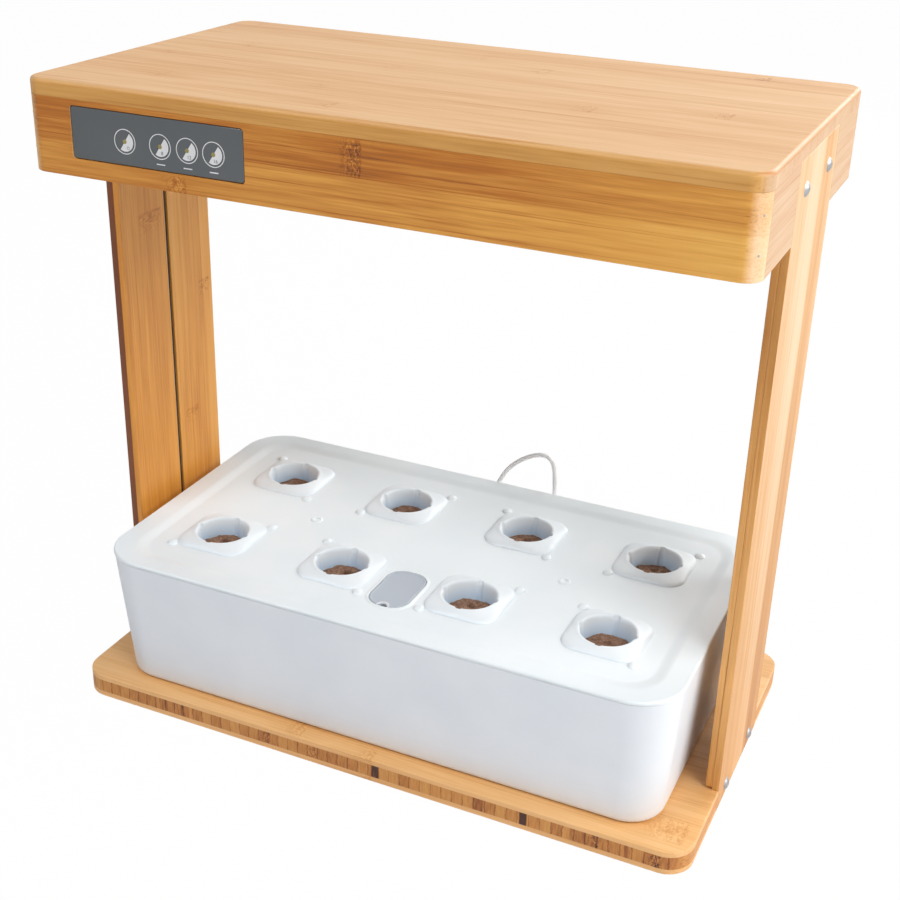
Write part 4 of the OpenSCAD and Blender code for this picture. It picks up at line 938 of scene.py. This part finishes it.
pods = {"x": (-127.5, -42.5, 42.5, 127.5), "y": (-50.5, 38.5), "hole": 18.85, "lip": 18.6, "half": 23,
        "foot": 43.8, "grooveHalf": 1.7, "cornerRound": 11, "slot": (4, 22), "slotUp": 6,
        "spongeTop": 94.3}
podPlaces = [(x, y) for y in pods["y"] for x in pods["x"]]
flap = {"y": -59.75, "width": 25, "length": 41.5, "corner": 10.5, "gap": 0.4, "rimWidth": 1.6,
        "top": 103.05, "thick": 1.95, "ledge": 2.5, "ledgeTop": 101, "hingeY": -43.5, "hingeZ": 102.3,
        "tailHalf": 10.75, "pin": 0.9, "pinHalf": 12.89, "notch": 3.2}


def flapPlan(grow, z, steps=10):
    return [(x, y, z) for x, y in roundedPlan(flap["width"] + 2 * grow, flap["length"] + 2 * grow,
                                              flap["corner"] + grow, steps, (0, flap["y"]))]


under, over = tank["lidCut"]
holes = [revolve([(pods["hole"], under), (pods["hole"], over)], (x, y, 0), steps=64)
         for x, y in podPlaces]
holes.append(loft([flapPlan(1.2, under), flapPlan(1.2, over)]))
cut(lid, joinShapes(*holes))
# the raised rim round the flap, with the ledge that the flap rests on
gap, ledge, ledgeTop, top = [flap[name] for name in ("gap", "ledge", "ledgeTop", "top")]
wide = gap + flap["rimWidth"]
section = ((wide, ledgeTop - 1.8), (wide, field - 0.3), (wide + 0.6, field - 0.05),
           (wide + 0.5, field + 0.03), (wide, field + 0.3), (wide - 0.5, top - 0.12), (wide - 0.9, top),
           (gap + 0.3, top), (gap + 0.08, top - 0.08), (gap, top - 0.3), (gap, ledgeTop),
           (-ledge, ledgeTop), (-ledge, ledgeTop - 1.8))
rimRing = meshPiece("rimRing", *loft([flapPlan(a, z, 16) for a, z in section], closed=True), lidAbs)


def tailReach(x):  # how far the flap's tail reaches behind its hinge, with room to turn
    inset = max(abs(x) - (flap["width"] / 2 - flap["corner"]), 0)
    behind = flap["y"] + flap["length"] / 2 - flap["hingeY"]
    reach = math.sqrt(max(flap["corner"] ** 2 - inset ** 2, 0)) - flap["corner"] + behind
    return math.hypot(max(reach, 0), flap["thick"] / 2) + 0.35


tailHalf = flap["tailHalf"]
sweep = [(tailReach(x), x) for x in [tailHalf * (k / 20 - 1) for k in range(41)]]
cut(rimRing, revolve([(0.01, -tailHalf - 0.01)] + sweep + [(0.01, tailHalf + 0.01)],
                     (0, flap["hingeY"], flap["hingeZ"]), "x", 64))


def joinPieces(target, *others):
    work = bmesh.new()
    for piece in (target,) + others:
        work.from_mesh(piece.data)
    work.to_mesh(target.data)
    work.free()
    for piece in others:
        bpy.data.objects.remove(piece)


# two low domes beside each cup, and two rings at the lid's middle line
bump = {"width": 6.6, "high": 1.8, "off": 22.5, "ring": 8, "ringThick": 2.6, "ringHigh": 0.75,
        "ringX": 85}


def domeTree(material):
    tree, add, given = newGroup(
        "lidDomes", "GeometryNodeTree",
        (("Places", "Geometry", None), ("Width", "Float", 0.0055), ("Height", "Float", 0.0015)),
        (("Geometry", "Geometry"),))
    ball = add("GeometryNodeMeshUVSphere", {"Segments": 32, "Rings": 16, "Radius": 0.5})
    high = add("Math MULTIPLY", (given["Height"], 2))
    size = add("CombineXYZ", (given["Width"], given["Width"], high))
    placed = add("GeometryNodeInstanceOnPoints",
                 {"Points": given["Places"], "Instance": ball, "Scale": size})
    closeTree(add, placed, material)
    return tree


domePlaces = []
for i, (x, y) in enumerate(podPlaces):
    turn = 1 if (i if i < 4 else i + 1) % 2 == 0 else -1
    domePlaces += [(x + s * bump["off"], y + s * turn * bump["off"], field) for s in (-1, 1)]
domes = runTree("domes", pointMesh("domes", domePlaces), domeTree(lidAbs),
                {"Width": bump["width"] * mm, "Height": bump["high"] * mm}, lidAbs, 60)
ringShapes = []
for s in (-1, 1):
    middle, half, high = (bump["ring"] - bump["ringThick"]) / 2, bump["ringThick"] / 2, bump["ringHigh"]
    profile = [(middle + half * math.cos(a), high * math.sin(a))
               for a in [2 * math.pi * k / 16 for k in range(16)]]
    ringShapes.append(revolve(profile, (s * bump["ringX"], tank["y"], field), steps=40, closed=True))
rings = meshPiece("lidRings", *joinShapes(*ringShapes), lidAbs, 60)
weighted(lid, 28)
weighted(rimRing, 28)
joinPieces(lid, rimRing, domes, rings)
finishPiece(weighted(lid, 28), "lid", "white_abs", "tank_lid")
print("lid built")

# the flap with its finger notch: how far each layer grows past its plan, and its height from the top
notchY = flap["y"] - flap["length"] / 2
flapLayers = [(-0.3, -flap["thick"]), (0, 0.3 - flap["thick"]), (0, -0.5), (-0.15, -0.15), (-0.5, 0),
              (-1.1, 0), (-1.5, -0.12), (-1.8, -0.24), (-4.5, -0.26)]
flapPiece = meshPiece("fillerFlap", *loft([flapPlan(grow, top + z, 16) for grow, z in flapLayers]),
                      greyAbs, 40)
cut(flapPiece, revolve([(flap["notch"], 99), (flap["notch"], 105)], (0, notchY, 0), steps=48))
crescent = []
for k in range(25):
    a = math.radians(-12 + 204 * k / 24)
    thick = 1.25 * math.sin(math.radians(180 * (k + 0.6) / 25.2)) ** 0.6
    ring = []
    for j in range(10):
        c = 2 * math.pi * j / 10
        r = flap["notch"] + 0.35 + thick * math.cos(c) * 0.8
        ring.append((r * math.cos(a), notchY + r * math.sin(a), top - 0.3 + thick * 0.6 * math.sin(c)))
    crescent.append(ring)
notchLip = meshPiece("flapNotchLip", *loft(crescent), paleGreyAbs, 60)
finishPiece(notchLip, "flap", "grey_flap")
r, end = flap["pin"] / 2, flap["pinHalf"]
profile = [(r - 0.15, -end), (r, -end + 0.15), (r, end - 0.15), (r - 0.15, end)]
pin = meshPiece("flapPin", *revolve(profile, (0, flap["hingeY"], flap["hingeZ"]), "x", 24), greyAbs)
weighted(flapPiece, 40)
joinPieces(flapPiece, pin)
finishPiece(weighted(flapPiece, 40), "flap", "grey_flap", "filler_flap")
print("flap built")


# a cup is its profile turned round: the collar goes from a round lip to a square with round corners,
# and the rim has four shallow grooves
def podTree(material):
    tree, add, given = newGroup(
        "podCup", "GeometryNodeTree",
        (("Profile", "Geometry", None), ("Profile Points", "Int", 30), ("Around", "Int", 200),
         ("Lip Radius", "Float", 0.0186), ("Collar Half", "Float", 0.023),
         ("Corner Round", "Float", 0.011), ("Groove Half", "Float", 0.0009),
         ("Slot Size", "Vector", None), ("Slot Height", "Float", 0.0608)),
        (("Geometry", "Geometry"),))
    made = dict(given.items(), index=add("GeometryNodeInputIndex"))
    addChain(add, made, (
        ("columns", "Math ADD", "Around", 1), ("column", "Math DIVIDE", "index", "Profile Points"),
        ("column", "Math FLOOR", "column"), ("passed", "Math MULTIPLY", "column", "Profile Points"),
        ("row", "Math SUBTRACT", "index", "passed")))
    grid = add("GeometryNodeMeshGrid", {"Vertices X": made["columns"],
                                        "Vertices Y": given["Profile Points"]})
    spot = add("GeometryNodeInputPosition")
    sample = add("GeometryNodeSampleIndex",
                 {"Geometry": given["Profile"], "Index": made["row"], "Value": spot},
                 data_type="FLOAT_VECTOR").outputs["Value"]
    made.update(zip(("radius", "deep", "height"), add("SeparateXYZ", (sample,)).outputs))
    addChain(add, made, (
        ("angle", "Math MULTIPLY", "column", 2 * math.pi), ("angle", "Math DIVIDE", "angle", "Around"),
        ("cosine", "Math COSINE", "angle"), ("sine", "Math SINE", "angle"),
        # the outline of a square with round corners, for a radius of 1 at its sides
        ("wide", "Math ABSOLUTE", "cosine"), ("narrow", "Math ABSOLUTE", "sine"),
        ("more", "Math MAXIMUM", "wide", "narrow"), ("less", "Math MINIMUM", "wide", "narrow"),
        ("middle", "Math SUBTRACT", "Collar Half", "Corner Round"),
        ("along", "Math ADD", "more", "less"), ("along", "Math MULTIPLY", "middle", "along"),
        ("left", "Math MULTIPLY", "middle", "middle"), ("left", "Math MULTIPLY", "left", 2),
        ("round", "Math MULTIPLY", "Corner Round", "Corner Round"),
        ("left", "Math SUBTRACT", "left", "round"),
        ("root", "Math MULTIPLY", "along", "along"), ("root", "Math SUBTRACT", "root", "left"),
        ("root", "Math MAXIMUM", "root", 0), ("root", "Math SQRT", "root"),
        ("onArc", "Math ADD", "along", "root"),
        ("onSide", "Math DIVIDE", "Collar Half", "more"), ("steep", "Math DIVIDE", "less", "more"),
        ("limit", "Math DIVIDE", "middle", "Collar Half"),
        ("cornered", "Math GREATER_THAN", "steep", "limit"),
        ("beyond", "Math SUBTRACT", "onArc", "onSide"), ("beyond", "Math MULTIPLY", "cornered", "beyond"),
        ("outline", "Math ADD", "onSide", "beyond"), ("stretch", "Math DIVIDE", "outline", "Collar Half"),
        ("start", "Math ADD", "Lip Radius", 0.0002), ("end", "Math SUBTRACT", "Collar Half", 0.0006),
        ("square", "MapRange SMOOTHSTEP", "radius", "start", "end", 0, 1),
        ("stretch", "Math SUBTRACT", "stretch", 1), ("stretch", "Math MULTIPLY", "square", "stretch"),
        ("stretch", "Math ADD", 1, "stretch"),
        # the grooves lie where the sine of twice the angle is small
        ("offset", "Math MULTIPLY", "angle", 2), ("offset", "Math SINE", "offset"),
        ("offset", "Math ABSOLUTE", "offset"), ("offset", "Math MULTIPLY", 0.5, "offset"),
        ("offset", "Math MULTIPLY", "radius", "offset"),
        ("inner", "Math SUBTRACT", "Groove Half", 0.0006), ("outer", "Math ADD", "Groove Half", 0.0006),
        ("near", "MapRange SMOOTHSTEP", "offset", "inner", "outer", 1, 0),
        ("grooved", "Math SUBTRACT", "deep", "radius"), ("grooved", "Math MULTIPLY", "grooved", "near"),
        ("grooved", "Math ADD", "radius", "grooved"), ("reach", "Math MULTIPLY", "grooved", "stretch"),
        ("x", "Math MULTIPLY", "reach", "cosine"), ("y", "Math MULTIPLY", "reach", "sine"),
        ("place", "CombineXYZ", "x", "y", "height")))
    shaped = add("GeometryNodeSetPosition", {"Geometry": grid, "Position": made["place"]})
    whole = add("GeometryNodeMergeByDistance", {"Geometry": shaped, "Distance": 1e-6})
    box = add("GeometryNodeMeshCube", {"Size": given["Slot Size"]})
    lift = add("CombineXYZ", {2: given["Slot Height"]})
    for turn in (30, 90, 150):  # each box cuts two slots, one on each side
        tool = add("GeometryNodeTransform",
                   {"Geometry": box, "Translation": lift, "Rotation": (0, 0, math.radians(turn))})
        whole = add("GeometryNodeMeshBoolean DIFFERENCE", (whole, tool), solver="EXACT")
    closeTree(add, whole, material)
    return tree


# radius, radius in a groove, height
podProfile = [(18.45, 0, 102.54), (20.5, 0, 102.54), (22.6, 0, 102.54), (23, 0, 102.55),
              (22.95, 0, 102.8), (22.7, 0, 103.2), (22.3, 0, 103.7), (21.8, 0, 104.2), (21.2, 0, 104.65),
              (20.5, 0, 105.05), (19.7, 0, 105.4), (18.9, 0, 105.7), (18.2, 18.4, 105.95),
              (17.6, 18, 106.12), (17.1, 17.8, 106.2), (16.7, 17.65, 106.15), (16.35, 17.5, 105.95),
              (16.05, 17.35, 105.55), (15.8, 17.15, 104.95), (15.6, 16.9, 104.2), (15.45, 16.6, 103.3),
              (15.35, 16.4, 102.2), (15.25, 16.3, 101), (15.15, 16.2, 99.5), (15.05, 16.15, 97.5),
              (15, 16.1, 95), (14.95, 16, 92.5), (14.85, 15.7, 90.5), (14.75, 0, 88.5), (14.6, 0, 85),
              (13.3, 0, 66), (11.2, 0, 46), (10.4, 0, 45), (5.5, 0, 45), (5.5, 0, 43.8), (11.7, 0, 43.8),
              (12.2, 0, 44.3), (14.77, 0, 66), (17.03, 0, 85), (18.45, 0, 97), (18.45, 0, 100),
              (18.45, 0, 102.54)]
profileMesh = pointMesh("podProfile", [(r, max(r, g), z) for r, g, z in podProfile])
slotWide, slotHigh = pods["slot"]
firstPod = runTree("podMaster", profileMesh, podTree(podWhite), {
    "Profile Points": len(podProfile), "Around": 200, "Lip Radius": pods["lip"] * mm,
    "Collar Half": pods["half"] * mm, "Corner Round": pods["cornerRound"] * mm,
    "Groove Half": pods["grooveHalf"] * mm, "Slot Size": (0.04, slotWide * mm, slotHigh * mm),
    "Slot Height": (pods["foot"] + pods["slotUp"] + slotHigh / 2) * mm}, podWhite, 38)
weighted(firstPod, 38)
print("pod shape made:", len(firstPod.data.polygons), "faces")

# a plug of foam with a seed hole near its middle and a rough, slightly domed top
sponge = {"foot": 45.4, "footRadius": 10.9, "topRadius": 14.5, "hole": 3, "holeDepth": 7, "mound": 1.9,
          "steps": 90, "roughness": ((1.3, 0.35), (0.5, 0.6), (0.12, 1.6))}


def spongeShape(seed, x, y):
    chance = random.Random(seed)
    holeX, holeY = chance.uniform(-1.2, 1.2), chance.uniform(3, 4.8)
    top, rTop, foot, rFoot = pods["spongeTop"], sponge["topRadius"], sponge["foot"], sponge["footRadius"]
    inner, bottom = sponge["hole"], pods["spongeTop"] - sponge["holeDepth"]
    profile = [(rFoot - 0.8, foot), (rFoot, foot + 0.8)]
    profile += [(rFoot + (rTop - rFoot) * k / 8, foot + 0.8 + (top - 2 - foot) * k / 8)
                for k in range(1, 9)]
    profile += [(rTop - 0.1, top - 0.6), (rTop - 0.5, top - 0.15)]
    profile += [(inner + (rTop - 1.2 - inner) * (1 - k / 14), top) for k in range(15)]
    profile += [(inner - 0.3, top - 0.5), (inner - 0.5, bottom), (0.8, bottom - 0.6)]
    rings = []
    for i, (r, z) in enumerate(profile):
        shift = 1 if i > 25 else max(0.0, (i - 10) / 15)
        ring = []
        for k in range(sponge["steps"]):
            a = 2 * math.pi * k / sponge["steps"]
            wobble = 1
            if i > 24:
                wobble = 1 + 0.25 * noise.noise(Vector((math.cos(a) * 2, math.sin(a) * 2, seed)))
            px, py = r * wobble * math.cos(a) + holeX * shift, r * wobble * math.sin(a) + holeY * shift
            if i <= 12:
                px, py = r * math.cos(a), r * math.sin(a)
            rough = sum(size * noise.noise(Vector((px, py, seed * 3)) * often)
                        for often, size in sponge["roughness"])
            swell = sponge["mound"] * (1 - (px * px + py * py) / rTop ** 2)
            ring.append((x + px, y + py, z + (rough + swell if i > 10 else 0)))
        rings.append(ring)
    return loft(rings)


for i, (x, y) in enumerate(podPlaces):
    number = str(i + 1)
    mesh = firstPod.data.copy()
    mesh.transform(Matrix.Translation(Vector((x, y, 0)) * mm))
    finishPiece(addObject("podCup" + number, mesh), "pod_" + number, "pod_white", "pod_cup_" + number)
    plug = meshPiece("growSponge" + number, *spongeShape(i + 1, x, y), growFoam, 50)
    finishPiece(plug, "pod_" + number, "grow_sponge", "grow_sponge_" + number)
bpy.data.objects.remove(firstPod)
print("pods and sponges built")


# the CAD nodes that are shown as they are
for material, names in (
        (boardGreen, ("touch_board", "driver_board")), (shaftSteel, ("touch_key_springs", "pump_shaft")),
        (nickelSteel, ("lamp_tray_screws", "board_screws", "lamp_cover_screws")),
        (whiteEnamel, ("lamp_tray",)), (boardWhite, ("lamp_board",)), (clearSheet, ("lamp_cover",)),
        (phosphor, ("lamp_chips",)), (blackPvc, ("inlet_lead", "panel_lead", "lamp_lead", "post_cable")),
        (whiteLead, ("pump_lead_inner",)),
        (blackAbs, ("power_socket", "pump_body", "pump_chamber_cover", "pump_intake_grille")),
        (filterFoam, ("pump_filter_sponge",)), (podWhite, ("pump_rotor",)),
        (blackRubber, ("pump_suction_feet",))):
    for name in names:
        nodes[name].data.materials.clear()
        nodes[name].data.materials.append(material)
pumpLead.data.materials.append(whiteLead)
print("carried parts dressed")


# a pale paper floor that keeps the shadow, and is white behind the object
def floorMaterial():
    material, add, shader, inMm = newMaterial("paperFloor", Roughness=0.9, Base_Color=linear("f2f2f2"))
    shine = add("Emission", {"Color": linear("ffffff"), "Strength": 1.0})
    ray = add("LightPath").outputs["Is Camera Ray"]
    mix = add("MixShader", (add("Math MULTIPLY", (ray, 0.985)), shader, shine))
    feed(material.node_tree.nodes["Material Output"], (mix,))
    return material


far, drop = 4000, -0.2  # the floor's half width, and how far it lies below the base
corners = [(sx * far, sy * far, drop) for sx, sy in ((-1, -1), (1, -1), (1, 1), (-1, 1))]
floor = meshPiece("floor", corners, [(0, 1, 2, 3)], floorMaterial())

studio = {"ambient": 0.02, "distance": 2.2, "size": 1.1, "aim": (0, 0, 0.2),
          "lamps": ((-35, 48, 21, "fbfcff"), (60, 15, 4.5, "ffffff"), (60, 40, 22.8, "ffffff"),
                    (101, 27, 21.5, "fffdfa"), (160, 25, 17, "ffffff"), (180, 50, 6.8, "ffffff"))}
world = bpy.data.worlds.new("studio")
scene.world = world
world.use_nodes = True
add, ends = partial(addNode, world.node_tree), world.node_tree.nodes
back = feed(ends["Background"], (linear("ffffff"), studio["ambient"]))
white = add("Background", (linear("ffffff"), 1.0))
ray = add("LightPath").outputs
seen = add("Math MAXIMUM", (ray["Is Camera Ray"], ray["Is Transmission Ray"]))
seen = add("Math MAXIMUM", (seen, ray["Is Glossy Ray"]))
feed(ends["World Output"], (add("MixShader", (seen, back, white)),))

# lamps: azimuth from the front towards the right, elevation, watts, colour
for i, (azimuth, elevation, power, code) in enumerate(studio["lamps"]):
    a, e = math.radians(azimuth), math.radians(elevation)
    lampData = bpy.data.lights.new("lamp" + str(i), "AREA")
    lampData.shape, lampData.size, lampData.energy = "SQUARE", studio["size"], power
    lampData.color = linear(code)[:3]
    lamp = addObject("lamp" + str(i), lampData)
    outward = Vector((math.sin(a) * math.cos(e), -math.cos(a) * math.cos(e), math.sin(e)))
    lamp.location = Vector(studio["aim"]) + outward * studio["distance"]
    lamp.rotation_euler = (-outward).to_track_quat("-Z", "Y").to_euler()
print("studio lit")

bpy.context.view_layer.update()
